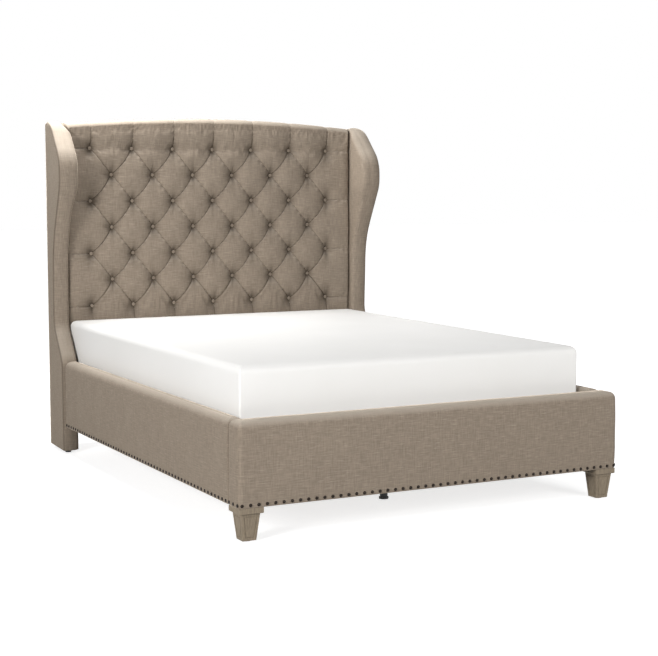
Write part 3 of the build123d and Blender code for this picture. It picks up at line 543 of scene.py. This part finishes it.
# Buttons: domed metal shells covered in the same linen, pulled deep into the foam on twine that is tied
# behind the panel. Each shows 18 mm wide.
def head_tree(name, sizes, segments, rings):
    """A Geometry Nodes tree that sets a low round head on each place or, with a pitch, along each line. Its
    inputs are the places, the named sizes and the finish."""
    tree = bpy.data.node_groups.new(name, "GeometryNodeTree")
    tree.interface.new_socket("Places", in_out="INPUT", socket_type="NodeSocketGeometry")
    for label, value in sizes.items():
        tree.interface.new_socket(label, in_out="INPUT", socket_type="NodeSocketFloat").default_value = value
    tree.interface.new_socket("Finish", in_out="INPUT", socket_type="NodeSocketMaterial")
    tree.interface.new_socket("Pieces", in_out="OUTPUT", socket_type="NodeSocketGeometry")
    given, made = tree.nodes.new("NodeGroupInput"), tree.nodes.new("NodeGroupOutput")
    ball = add(tree, "GeometryNodeMeshUVSphere", {"Segments": segments, "Rings": rings,
                                                  "Radius": given.outputs["Radius"]})
    squat = add(tree, "ShaderNodeCombineXYZ", {0: 1.0, 1: 1.0, 2: given.outputs["Dome"]})
    dome = add(tree, "GeometryNodeTransform", {"Geometry": ball.outputs["Mesh"], "Scale": squat.outputs[0]})
    spots = given.outputs["Places"]
    if "Pitch" in sizes:
        line = add(tree, "GeometryNodeMeshToCurve", {0: spots})
        spaced = add(tree, "GeometryNodeResampleCurve", {
            "Curve": line.outputs[0], "Length": given.outputs["Pitch"]}, mode="LENGTH")
        spots = spaced.outputs[0]
    facing = add(tree, "GeometryNodeInputNamedAttribute", {"Name": "facing"}, data_type="FLOAT_VECTOR")
    turned = add(tree, "FunctionNodeAlignRotationToVector", {"Vector": facing.outputs[0]}, axis="Z")
    laid = add(tree, "GeometryNodeInstanceOnPoints", {
        "Points": spots, "Instance": dome.outputs[0], "Rotation": turned.outputs[0]})
    real = add(tree, "GeometryNodeRealizeInstances", {0: laid.outputs[0]})
    shaded = add(tree, "GeometryNodeSetShadeSmooth", {0: real.outputs[0]})
    finish = add(tree, "GeometryNodeSetMaterial", {0: shaded.outputs[0], "Material": given.outputs["Finish"]})
    tree.links.new(finish.outputs[0], made.inputs[0])
    return tree


def grow(name, tree, finish, places, facing, edges=()):
    """Runs a tree on a set of points or lines, and keeps the result as a plain mesh piece."""
    seed_mesh = bpy.data.meshes.new(name + "_places")
    seed_mesh.from_pydata([tuple(p) for p in places], list(edges), [])
    ways = seed_mesh.attributes.new("facing", "FLOAT_VECTOR", "POINT")
    ways.data.foreach_set("vector", np.array(facing, float).ravel())
    maker = bpy.data.objects.new(name + "_maker", seed_mesh)
    scene.collection.objects.link(maker)
    modifier = maker.modifiers.new("pieces", "NODES")
    modifier.node_group = tree
    modifier[tree.interface.items_tree["Finish"].identifier] = finish
    bpy.context.view_layer.update()
    graph = bpy.context.evaluated_depsgraph_get()
    mesh = bpy.data.meshes.new_from_object(maker.evaluated_get(graph))
    maker.modifiers.remove(modifier)
    bpy.data.objects.remove(maker)
    mesh.name = name
    piece = bpy.data.objects.new(name, mesh)
    scene.collection.objects.link(piece)
    return piece


button_tree = head_tree("covered_buttons", {"Radius": 0.75 * button_radius, "Dome": 0.4}, 20, 12)
sites = [(bx, button_level + 0.0010, bz) for bx, bz in buttons]
covered_buttons = grow("covered_buttons", button_tree, linen, sites, [(0, -1, 0)] * len(sites))
weave_map(covered_buttons.data)
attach(covered_buttons, "bed_frame")
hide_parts("headboard_buttons")


# Back cover: one flat panel of the same linen, stapled round the back of the headboard frame and
# finished with a turned edge.
cover_back, cover_front, cover_low = 1.135, 1.132, 0.150
edge_margin, edge_turn, edge_turn_reach = 0.012, 0.0009, 0.012
cover_lift, cover_wave, cover_seat = 0.0014, 0.0006, 0.0002
cx, cs = np.meshgrid(np.linspace(-pad_half_width, pad_half_width, 61), np.linspace(0, 1, 49), indexing="ij")
cz = cover_low + 0.002 + (arch(cx) - edge_margin - cover_low) * cs
edge_gap = np.min((cx + pad_half_width, pad_half_width - cx, cz - cover_low, arch(cx) - cz), axis=0).ravel()
outside = np.stack((cx, np.full_like(cx, cover_back), cz), axis=-1).reshape(-1, 3)
inside = outside.copy()
inside[:, 1] = cover_front - cover_seat
outside[:, 1] += cover_wave * ripple(21, 20, 0.5, 0.12)(outside) - cover_lift
outside[:, 1] -= edge_turn * np.exp(-edge_gap / edge_turn_reach)
grid = np.arange(cx.size).reshape(cx.shape)
rim = np.concatenate((grid[:, 0], grid[-1, 1:], grid[-2::-1, -1], grid[0, -2:0:-1]))
after = np.roll(rim, -1)
faces = np.concatenate((grid_quads(grid)[:, ::-1], grid_quads(grid + grid.size),
                        np.column_stack((rim, after, after + grid.size, rim + grid.size))))
back_lining = cloth_piece("back_lining", np.concatenate((outside, inside)), faces, linen)
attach(back_lining, "bed_frame")
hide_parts("headboard_back_cover")


# Rails and footboard: boards wrapped in a thin foam and the same linen. The fabric is pulled tight
# over rounded top edges, turned under the bottom edge and tacked there.
def plan_ring(lo, hi, corner, inset, step):
    """A rounded rectangle seen from above, always with the same number of points for one block."""
    arc_points, sharpest = 7, 0.0004
    round_now = max(corner - inset, sharpest)
    low, high = np.array(lo[:2]) + inset, np.array(hi[:2]) - inset
    counts = [max(2, int((hi[i] - lo[i]) / step)) for i in (0, 1)]
    arcs = []
    for quarter, (cx, cy) in enumerate(((high[0], low[1]), (high[0], high[1]), (low[0], high[1]),
                                        (low[0], low[1]))):
        sx, sy = (1 if cx == high[0] else -1), (1 if cy == high[1] else -1)
        centre = np.array((cx - sx * round_now, cy - sy * round_now))
        start = (quarter - 1) * math.pi / 2
        arcs.append([centre + round_now * np.array((math.cos(turn), math.sin(turn)))
                     for turn in np.linspace(start, start + math.pi / 2, arc_points)])
    full = []
    for quarter, arc in enumerate(arcs):
        following = arcs[(quarter + 1) % 4][0]
        full += arc
        full += [arc[-1] + (following - arc[-1]) * s for s in crowd(counts[1 - quarter % 2])[1:-1]]
    return np.array(full)


def skin(layers, count, way=1, start=0):
    """Faces over a pile of rings with count points each, closed at both ends; way -1 turns them over."""
    faces = []
    for low in range(start, start + (layers - 1) * count, count):
        for i in range(count):
            j = (i + 1) % count
            faces.append((low + i, low + j, low + count + j, low + count + i)[::way])
    top = start + (layers - 1) * count
    return faces + [tuple(range(start, start + count))[::-way], tuple(range(top, top + count))[::way]]


def padded_block(name, lo, hi, corner, top_round, low_round, swell, crown, step, material, seed,
                 rough=0.0008):
    """A closed padded box, lowest to highest corner, its sides swelling and its top crowned."""
    height = hi[2] - lo[2]
    reach = min(hi[0] - lo[0], hi[1] - lo[1]) / 2 - 0.0008
    levels = [(low_round + (reach - low_round) * s, lo[2]) for s in (1.0, 0.5, 0.1)]
    levels += [(low_round * (1 - math.sin(t)), lo[2] + low_round * (1 - math.cos(t)))
               for t in np.radians((0, 30, 60, 90))]
    for share in crowd(max(4, int(height / step)))[1:-1]:
        levels.append((-swell * bow(share) ** 0.7,
                       lo[2] + low_round + (height - low_round - top_round) * share))
    levels += [(top_round * (1 - math.cos(t)), hi[2] - top_round * (1 - math.sin(t)))
               for t in np.radians((0, 12, 26, 40, 54, 68, 80, 90))]
    levels += [(top_round + (reach - top_round) * s, hi[2] + crown * (1 - (1 - s) ** 2))
               for s in (0.12, 0.35, 0.65, 1.0)]
    plans = [plan_ring(lo, hi, corner, inset, step) for inset, _ in levels]
    points = np.concatenate([np.column_stack((plan, np.full(len(plan), z)))
                             for plan, (_, z) in zip(plans, levels)])
    away = (points - (np.array(lo) + hi) / 2) / (np.array(hi) - lo) * 2
    push = away / np.linalg.norm(away, axis=1)[:, None]
    push[:, 2] *= 0.4
    soft = rough * (ripple(seed, 30, 0.6, 0.12)(points) + 0.4 * ripple(seed + 50, 30, 0.12, 0.05)(points))
    soft *= np.clip((points[:, 2] - lo[2]) / 0.03, 0, 1)
    return cloth_piece(name, points + push * soft[:, None], skin(len(levels), len(plans[0])), material)


rail_low, rail_high, rail_inner, rail_outer = 0.127, 0.441, 0.768, 0.838
rail_front, rail_back, foot_front, foot_back = -1.0342, 0.8905, -1.135, -1.035
for side, sign in (("left", -1), ("right", 1)):
    inner_face, outer_face = sign * rail_inner, sign * rail_outer
    rail = padded_block("rail_" + side + "_upholstery", (min(inner_face, outer_face), rail_front, rail_low),
                        (max(inner_face, outer_face), rail_back, rail_high), corner=0.010, top_round=0.032,
                        low_round=0.004, swell=0.0012, crown=0.0015, step=0.024, material=linen,
                        seed=31 if sign < 0 else 32)
    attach(rail, "bed_frame")
    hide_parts("rail_" + side + "_cover")

footboard = padded_block("footboard_upholstery", (-rail_outer, foot_front, rail_low),
                         (rail_outer, foot_back, rail_high), corner=0.018, top_round=0.030, low_round=0.004,
                         swell=0.0015, crown=0.002, step=0.018, material=linen, seed=33)
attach(footboard, "bed_frame")
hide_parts("footboard_cover")


# Nailheads: domed steel tacks with a dark antique bronze finish, driven 33 mm apart along the bottom
# edge of the footboard, its returns and both rails.
def dark_bronze():
    """Antique bronze lacquer on pressed steel: near black, with a low shine and browner patches."""
    material, tree, place = start_material("antique_bronze_lacquered_steel")
    # Lacquer mottles over about 4 mm.
    mottle = add(tree, "ShaderNodeTexNoise", {"Vector": place, "Scale": 260.0, "Detail": 2.0})
    tone = add(tree, "ShaderNodeMix", {0: mottle.outputs[0], 6: hex_colour("#120e0b"),
                                       7: hex_colour("#2a2019")}, data_type="RGBA")
    gloss = add(tree, "ShaderNodeMapRange", {"Value": mottle.outputs[0], "To Min": 0.22, "To Max": 0.42})
    bump = add(tree, "ShaderNodeBump", {"Strength": 0.2, "Distance": 0.0003, "Height": mottle.outputs[0]})
    metal = add(tree, "ShaderNodeBsdfPrincipled", {
        "Base Color": tone.outputs[2], "Metallic": 0.4, "Specular IOR Level": 0.2,
        "Roughness": gloss.outputs[0], "Normal": bump.outputs[0]})
    add(tree, "ShaderNodeOutputMaterial", {"Surface": metal.outputs[0]})
    return material


nail_height, proud = rail_low + 0.0115, 0.0008
foot_run, return_run, rail_run = 0.826, (-1.122, -1.048), (-1.018, 0.874)
nail_tree = head_tree("nailhead_rows", {"Radius": 0.0068, "Pitch": 0.033, "Dome": 0.55}, 10, 6)
runs = [((-foot_run, foot_front - proud), (foot_run, foot_front - proud), (0, -1, 0))]
runs += [((sign * (rail_outer + proud), start), (sign * (rail_outer + proud), end), (sign, 0, 0))
         for start, end in (return_run, rail_run) for sign in (-1, 1)]
ends = [(*place, nail_height) for run in runs for place in run[:2]]
nailheads = grow("nailheads", nail_tree, dark_bronze(), ends, [run[2] for run in runs for _ in (0, 1)],
                 [(i, i + 1) for i in range(0, len(ends), 2)])
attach(nailheads, "bed_frame")


# Wings: shaped plywood sides with foam on the inner face and front band, wrapped in linen that is
# hand-closed down the outer edge; bolted to the headboard so that they splay outwards a little.
wing_thickness, wing_plane, wing_back, splay = 0.078, 0.762, 1.1316, math.radians(2.5)
wing_low, wing_top, outline_step = 0.012, 1.562, 0.009
inner_round, outer_round, band_crown, face_crown = 0.026, 0.006, 0.004, 0.017
# The inner face is padded out only above the mattress's way up and in front of the headboard.
crown_low, crown_rise, crown_back, crown_run = 1.13, 0.14, 0.07, 0.05
hem_share, hem_rise, seam_shade = 0.1, 0.003, 0.45
# The front outline from the floor up: how far out from the headboard, how high, and how round.
wing_corners = ((0.240, wing_low), (0.240, 0.435), (0.098, 0.600), (0.110, 0.985), (0.247, 1.264),
                (0.247, 1.389), (0.084, wing_top), (0.000, wing_top))
wing_radii = (0, 0.110, 0.110, 0.481, 0.144, 0.159, 0.149, 0)


def rounded_path(corners, radii, step):
    """Points along straight runs joined by arcs, about one step apart, and the outward direction at each."""
    corners = np.array(corners, float)
    points = []
    for i in range(len(corners)):
        arc = [corners[i]]
        if radii[i]:
            back = corners[i - 1] - corners[i]
            ahead = corners[i + 1] - corners[i]
            back, ahead = back / np.linalg.norm(back), ahead / np.linalg.norm(ahead)
            turn = math.pi - math.acos(float(np.clip(back @ ahead, -1, 1)))
            toward = (back + ahead) / np.linalg.norm(back + ahead)
            centre = corners[i] + toward * radii[i] / math.cos(turn / 2)
            first = corners[i] + back * radii[i] * math.tan(turn / 2) - centre
            bend = -np.sign(back[0] * ahead[1] - back[1] * ahead[0])
            steps = max(3, int(radii[i] * turn / step))
            arc = [centre + np.array((first[0] * math.cos(a) - first[1] * math.sin(a),
                                      first[0] * math.sin(a) + first[1] * math.cos(a)))
                   for a in np.linspace(0, bend * turn, steps + 1)]
        if points:
            run = arc[0] - points[-1]
            count = max(1, int(np.linalg.norm(run) / step))
            points += [points[-1] + run * s / count for s in range(1, count)]
        points += arc
    points = np.array(points)
    ahead = np.gradient(points, axis=0)
    ahead /= np.linalg.norm(ahead, axis=1)[:, None]
    return points, np.column_stack((ahead[:, 1], -ahead[:, 0]))


front_line, front_out = rounded_path(wing_corners, wing_radii, outline_step)
run = np.concatenate(([0], np.cumsum(np.linalg.norm(np.diff(front_line, axis=0), axis=1))))
keep = run < run[-1] - 0.012
front_line, front_out, run = front_line[keep], front_out[keep], run[keep]
back_line = wing_low + (wing_top - 0.010 - wing_low) * run / run[-1]
band = wing_thickness - inner_round - outer_round
for side, sign in (("left", -1), ("right", 1)):
    rings = []
    for edge, out, rear_height in zip(front_line, front_out, back_line):
        rear = np.array((0.0, rear_height))
        inner_edge, outer_edge = edge - out * inner_round, edge - out * outer_round
        ring = [(*(rear + (inner_edge - rear) * s), 0.0) for s in crowd(9)[:-1]]
        ring += [(*(edge - out * inner_round * (1 - math.sin(t))), inner_round * (1 - math.cos(t)))
                 for t in np.radians((0, 15, 30, 45, 60, 75))]
        ring += [(*(edge + out * band_crown * bow(s) ** 0.7), inner_round + band * s)
                 for s in np.linspace(0, 1, 11)]
        seam_at = len(ring)
        ring += [(*(edge - out * outer_round * (1 - math.cos(t))),
                  wing_thickness - outer_round * (1 - math.sin(t))) for t in np.radians((30, 60, 90))]
        ring += [(*(outer_edge + (rear - outer_edge) * s), wing_thickness) for s in crowd(7)[1:]]
        ring += [(*rear, wing_thickness * s) for s in (0.97, 0.7, 0.4, 0.1)]
        rings.append(ring)
    rings = np.array(rings)
    hem = rings[0] + (rings[0].mean(axis=0) - rings[0]) * hem_share
    hem[:, 1] = wing_low
    rings[0][:, 1] += hem_rise
    rings = np.concatenate((hem[None], rings))
    layers, count = rings.shape[:2]
    local = rings.reshape(-1, 3)
    free = smooth(np.clip((local[:, 1] - crown_low) / crown_rise, 0, 1)
                  * np.clip((local[:, 0] - crown_back) / crown_run, 0, 1))
    local[:, 2] -= face_crown * free * np.clip(1 - local[:, 2] / inner_round, 0, 1)
    forward = np.array((sign * math.sin(splay), -math.cos(splay), 0))
    outward = np.array((sign * math.cos(splay), math.sin(splay), 0))
    points = np.array((sign * wing_plane, wing_back, 0)) + local[:, :1] * forward + local[:, 2:] * outward
    points[:, 2] = local[:, 1]
    points += forward * (0.0007 * ripple(41, 24, 0.5, 0.1)(points))[:, None] * (local[:, :1] > 0.03)
    # Painted shade: the colour darkens along the seam where the band meets the outer face.
    seam = np.tile(np.isin(np.arange(count), (seam_at, seam_at + 1)) * seam_shade, layers)
    wing = cloth_piece("wing_" + side + "_upholstery", points, skin(layers, count, sign), linen, seam,
                       upright=True)
    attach(wing, "bed_frame")
    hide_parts("wing_" + side + "_cover")


# Mattress: a foam block in a plain white knitted ticking, crisp at the upright corners and soft along
# the top edge, lying on the slats. It ends short of the pad's pillows, so that it can be lifted past them.
def knitted_ticking():
    """White stretch-knit polyester ticking: matt and clean, with fine loops."""
    material, tree, flat = start_material("knitted_polyester_ticking_white", "cloth_metres")
    # Real loops are 1 mm apart; they are drawn 6 mm apart.
    loops = add(tree, "ShaderNodeTexVoronoi", {"Vector": flat, "Scale": 160.0}, feature="F1")
    cloud = add(tree, "ShaderNodeTexNoise", {"Vector": flat, "Scale": 3.0, "Detail": 2.0})
    tone = add(tree, "ShaderNodeMix", {0: cloud.outputs[0], 6: hex_colour("#e7e6e3"),
                                       7: hex_colour("#edecea")}, data_type="RGBA")
    bump = add(tree, "ShaderNodeBump", {"Strength": 0.15, "Distance": 0.0008, "Height": loops.outputs[0]})
    knit = add(tree, "ShaderNodeBsdfPrincipled", {
        "Base Color": tone.outputs[2], "Roughness": 0.85, "Sheen Weight": 0.1, "Specular IOR Level": 0.2,
        "Normal": bump.outputs[0]})
    add(tree, "ShaderNodeOutputMaterial", {"Surface": knit.outputs[0]})
    return material


mattress_half_width, mattress_foot, mattress_head = 0.760, -0.966, 1.049
mattress_low, mattress_high = 0.3123, 0.6173
mattress = padded_block("mattress_block", (-mattress_half_width, mattress_foot, mattress_low),
                        (mattress_half_width, mattress_head, mattress_high), corner=0.007, top_round=0.030,
                        low_round=0.020, swell=0.0, crown=0.008, step=0.030, material=knitted_ticking(),
                        seed=51, rough=0.0006)
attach(mattress, "mattress")
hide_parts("mattress")


# Front feet: turned from weathered grey-brown oak, a square cap over a tapered body with a routed panel
# line on each face, bolted up into the footboard.
def weathered_oak():
    """Oak with a brushed, limed grey finish: pale raised grain, darker pores, almost matt."""
    material, tree, place = start_material("weathered_limed_oak")
    # Grain lines lie 2 to 4 mm apart and run up the foot.
    along = add(tree, "ShaderNodeMapping", {0: place, "Scale": (320, 320, 22)})
    grain = add(tree, "ShaderNodeTexNoise", {"Vector": along.outputs[0], "Scale": 1.0, "Detail": 4.0,
                                             "Roughness": 0.65})
    cloud = add(tree, "ShaderNodeTexNoise", {"Vector": place, "Scale": 28.0, "Detail": 2.0})
    streak = add(tree, "ShaderNodeMapRange", {"Value": grain.outputs[0], "From Min": 0.35, "From Max": 0.65})
    wood = add(tree, "ShaderNodeMix", {0: streak.outputs[0], 6: hex_colour("#65594a"),
                                       7: hex_colour("#857864")}, data_type="RGBA")
    lime = add(tree, "ShaderNodeMix", {0: 0.35, 6: wood.outputs[2], 7: hex_colour("#918471")},
               data_type="RGBA")
    blend = add(tree, "ShaderNodeMix", {0: cloud.outputs[0], 6: wood.outputs[2], 7: lime.outputs[2]},
                data_type="RGBA")
    bump = add(tree, "ShaderNodeBump", {"Strength": 0.3, "Distance": 0.0006, "Height": grain.outputs[0]})
    oak = add(tree, "ShaderNodeBsdfPrincipled", {"Base Color": blend.outputs[2], "Roughness": 0.68,
                                                 "Normal": bump.outputs[0]})
    add(tree, "ShaderNodeOutputMaterial", {"Surface": oak.outputs[0]})
    return material


def refinish(material, *names):
    for name in names:
        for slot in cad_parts[name].material_slots:
            slot.material = material


refinish(weathered_oak(), "foot_left", "foot_right", "foot_cap_left", "foot_cap_right")


# Inner frame: kiln-dried pine boards, planed and left raw, screwed and glued; the grain runs along each
# board. Slats are the same timber.
def planed_pine(way, length):
    """Raw planed pine: pale yellow-brown, straight grain, dull."""
    material, tree, place = start_material("planed_pine_grain_" + way)
    # Growth rings show as lines about 6 mm apart.
    scale = [170.0, 170.0, 170.0]
    scale["xyz".index(way)] = 1 / length
    along = add(tree, "ShaderNodeMapping", {0: place, "Scale": scale})
    rings = add(tree, "ShaderNodeTexNoise", {"Vector": along.outputs[0], "Scale": 1.0, "Detail": 3.0,
                                             "Distortion": 0.4})
    cloud = add(tree, "ShaderNodeTexNoise", {"Vector": place, "Scale": 4.0, "Detail": 2.0})
    base = add(tree, "ShaderNodeMix", {0: cloud.outputs[0], 6: hex_colour("#cfae80"),
                                       7: hex_colour("#dcc199")}, data_type="RGBA")
    line = add(tree, "ShaderNodeMapRange", {"Value": rings.outputs[0], "From Min": 0.52, "From Max": 0.68,
                                            "To Max": 0.7})
    wood = add(tree, "ShaderNodeMix", {0: line.outputs[0], 6: base.outputs[2], 7: hex_colour("#a87c4c")},
               data_type="RGBA")
    bump = add(tree, "ShaderNodeBump", {"Strength": 0.15, "Distance": 0.0004, "Height": rings.outputs[0]})
    pine = add(tree, "ShaderNodeBsdfPrincipled", {"Base Color": wood.outputs[2], "Roughness": 0.72,
                                                  "Normal": bump.outputs[0]})
    add(tree, "ShaderNodeOutputMaterial", {"Surface": pine.outputs[0]})
    return material


refinish(planed_pine("x", 0.3), "slats", "headboard_top_rail", "headboard_middle_rail",
         "headboard_bottom_rail", "footboard_core")
refinish(planed_pine("y", 0.4), "rail_left_board", "rail_right_board", "rail_left_ledge", "rail_right_ledge",
         "head_ledge_left", "head_ledge_right", "centre_beam")
refinish(planed_pine("z", 0.35), "headboard_stile_left", "headboard_stile_right", "wing_left_frame",
         "wing_right_frame")


# Headboard panel: 9 mm poplar plywood behind the pad, which takes the buttons' twine. Sanded poplar
# veneer is pale and dull, with a soft figure 17 mm high.
plywood, tree, place = start_material("poplar_plywood_sanded")
along = add(tree, "ShaderNodeMapping", {0: place, "Scale": (3, 600, 60)})
veneer = add(tree, "ShaderNodeTexNoise", {"Vector": along.outputs[0], "Scale": 1.0, "Detail": 3.0})
face = add(tree, "ShaderNodeMix", {0: veneer.outputs[0], 6: hex_colour("#c9ad84"), 7: hex_colour("#ddc8a4")},
           data_type="RGBA")
board = add(tree, "ShaderNodeBsdfPrincipled", {"Base Color": face.outputs[2], "Roughness": 0.7})
add(tree, "ShaderNodeOutputMaterial", {"Surface": board.outputs[0]})
refinish(plywood, "headboard_panel")


# Fittings: pressed steel hook and socket plates, screws, bolts and beam pockets, screwed to the timber.
# Bright zinc plating gives them a cool grey, fairly sharp shine.
zinc, tree, place = start_material("zinc_plated_pressed_steel")
# Spangle from plating, drawn at 5 mm.
spangle = add(tree, "ShaderNodeTexVoronoi", {"Vector": place, "Scale": 200.0})
tone = add(tree, "ShaderNodeMix", {0: spangle.outputs["Distance"], 6: hex_colour("#b9bdbf"),
                                   7: hex_colour("#d3d6d6")}, data_type="RGBA")
gloss = add(tree, "ShaderNodeMapRange", {"Value": spangle.outputs["Distance"], "To Min": 0.3, "To Max": 0.45})
plate = add(tree, "ShaderNodeBsdfPrincipled", {"Base Color": tone.outputs[2], "Metallic": 1.0,
                                               "Roughness": gloss.outputs[0]})
add(tree, "ShaderNodeOutputMaterial", {"Surface": plate.outputs[0]})
refinish(zinc, "rail_hook_plates", "socket_plates", "fitting_screws", "wing_bolts", "foot_bolts",
         "foot_plates", "beam_pockets")


# Slat webbing: two woven polypropylene straps stapled under the slats, which keep them at their pitch.
# The tape is black with a slight shine, and dips a little between the staples.
webbing, tree, flat = start_material("woven_polypropylene_webbing_black", "cloth_metres")
# Ribs of the weave, 2 mm apart across the strap.
ribs = add(tree, "ShaderNodeTexWave", {"Vector": flat, "Scale": 160.0}, bands_direction="Y")
tone = add(tree, "ShaderNodeMix", {0: ribs.outputs["Fac"], 6: hex_colour("#202022"),
                                   7: hex_colour("#36363a")}, data_type="RGBA")
bump = add(tree, "ShaderNodeBump", {"Strength": 0.4, "Distance": 0.0004, "Height": ribs.outputs["Fac"]})
strap = add(tree, "ShaderNodeBsdfPrincipled", {"Base Color": tone.outputs[2], "Roughness": 0.6,
                                               "Normal": bump.outputs[0]})
add(tree, "ShaderNodeOutputMaterial", {"Surface": strap.outputs[0]})
strap_low, strap_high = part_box("slat_webbing")
strap_width, strap_length = 0.025, strap_high.y - strap_low.y
half_thickness, strap_dip, dip_rate, strap_steps = 0.00055, 0.0008, 41, 160
strap_section = ((-0.5, 0), (-0.46, 1), (0.46, 1), (0.5, 0), (0.46, -0.9), (-0.46, -0.9))
points, faces = [], []
for sign in (-1, 1):
    middle = sign * (strap_high.x - strap_width / 2)
    faces += skin(strap_steps, len(strap_section), -1, len(points))
    for y in np.linspace(strap_low.y, strap_high.y, strap_steps):
        level = (strap_low.z + strap_high.z) / 2 - strap_dip * math.sin(y * dip_rate) ** 2
        points += [(middle + dx * strap_width, y, level + dz * half_thickness) for dx, dz in strap_section]
slat_straps = cloth_piece("slat_straps", points, faces, webbing)
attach(slat_straps, "bed_frame")
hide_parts("slat_webbing")


# Centre legs: steel tube, screwed to the beam through a square plate. Black powder coating gives it a
# dim, slightly pebbled shine.
coat, tree, place = start_material("powder_coated_steel_black")
# Orange peel of the coating, 2 mm across.
peel = add(tree, "ShaderNodeTexNoise", {"Vector": place, "Scale": 480.0, "Detail": 1.0})
tone = add(tree, "ShaderNodeMix", {0: peel.outputs[0], 6: hex_colour("#1d1d1e"), 7: hex_colour("#2b2b2d")},
           data_type="RGBA")
bump = add(tree, "ShaderNodeBump", {"Strength": 0.2, "Distance": 0.0003, "Height": peel.outputs[0]})
powder = add(tree, "ShaderNodeBsdfPrincipled", {"Base Color": tone.outputs[2], "Roughness": 0.42,
                                                "Normal": bump.outputs[0]})
add(tree, "ShaderNodeOutputMaterial", {"Surface": powder.outputs[0]})
refinish(coat, "centre_legs")


# Glides and levellers: nylon, tacked or screwed under the feet, wings and legs. Moulding leaves it dark
# grey with an even, dull sheen.
nylon, tree, place = start_material("moulded_nylon_dark_grey")
# The mould's grain, 1.5 mm across.
grit = add(tree, "ShaderNodeTexNoise", {"Vector": place, "Scale": 700.0, "Detail": 1.0})
tone = add(tree, "ShaderNodeMix", {0: grit.outputs[0], 6: hex_colour("#2c2c2e"), 7: hex_colour("#3b3b3d")},
           data_type="RGBA")
plastic = add(tree, "ShaderNodeBsdfPrincipled", {"Base Color": tone.outputs[2], "Roughness": 0.5})
add(tree, "ShaderNodeOutputMaterial", {"Surface": plastic.outputs[0]})
refinish(nylon, "foot_glides", "wing_glides", "leveller_1", "leveller_2", "leveller_3")
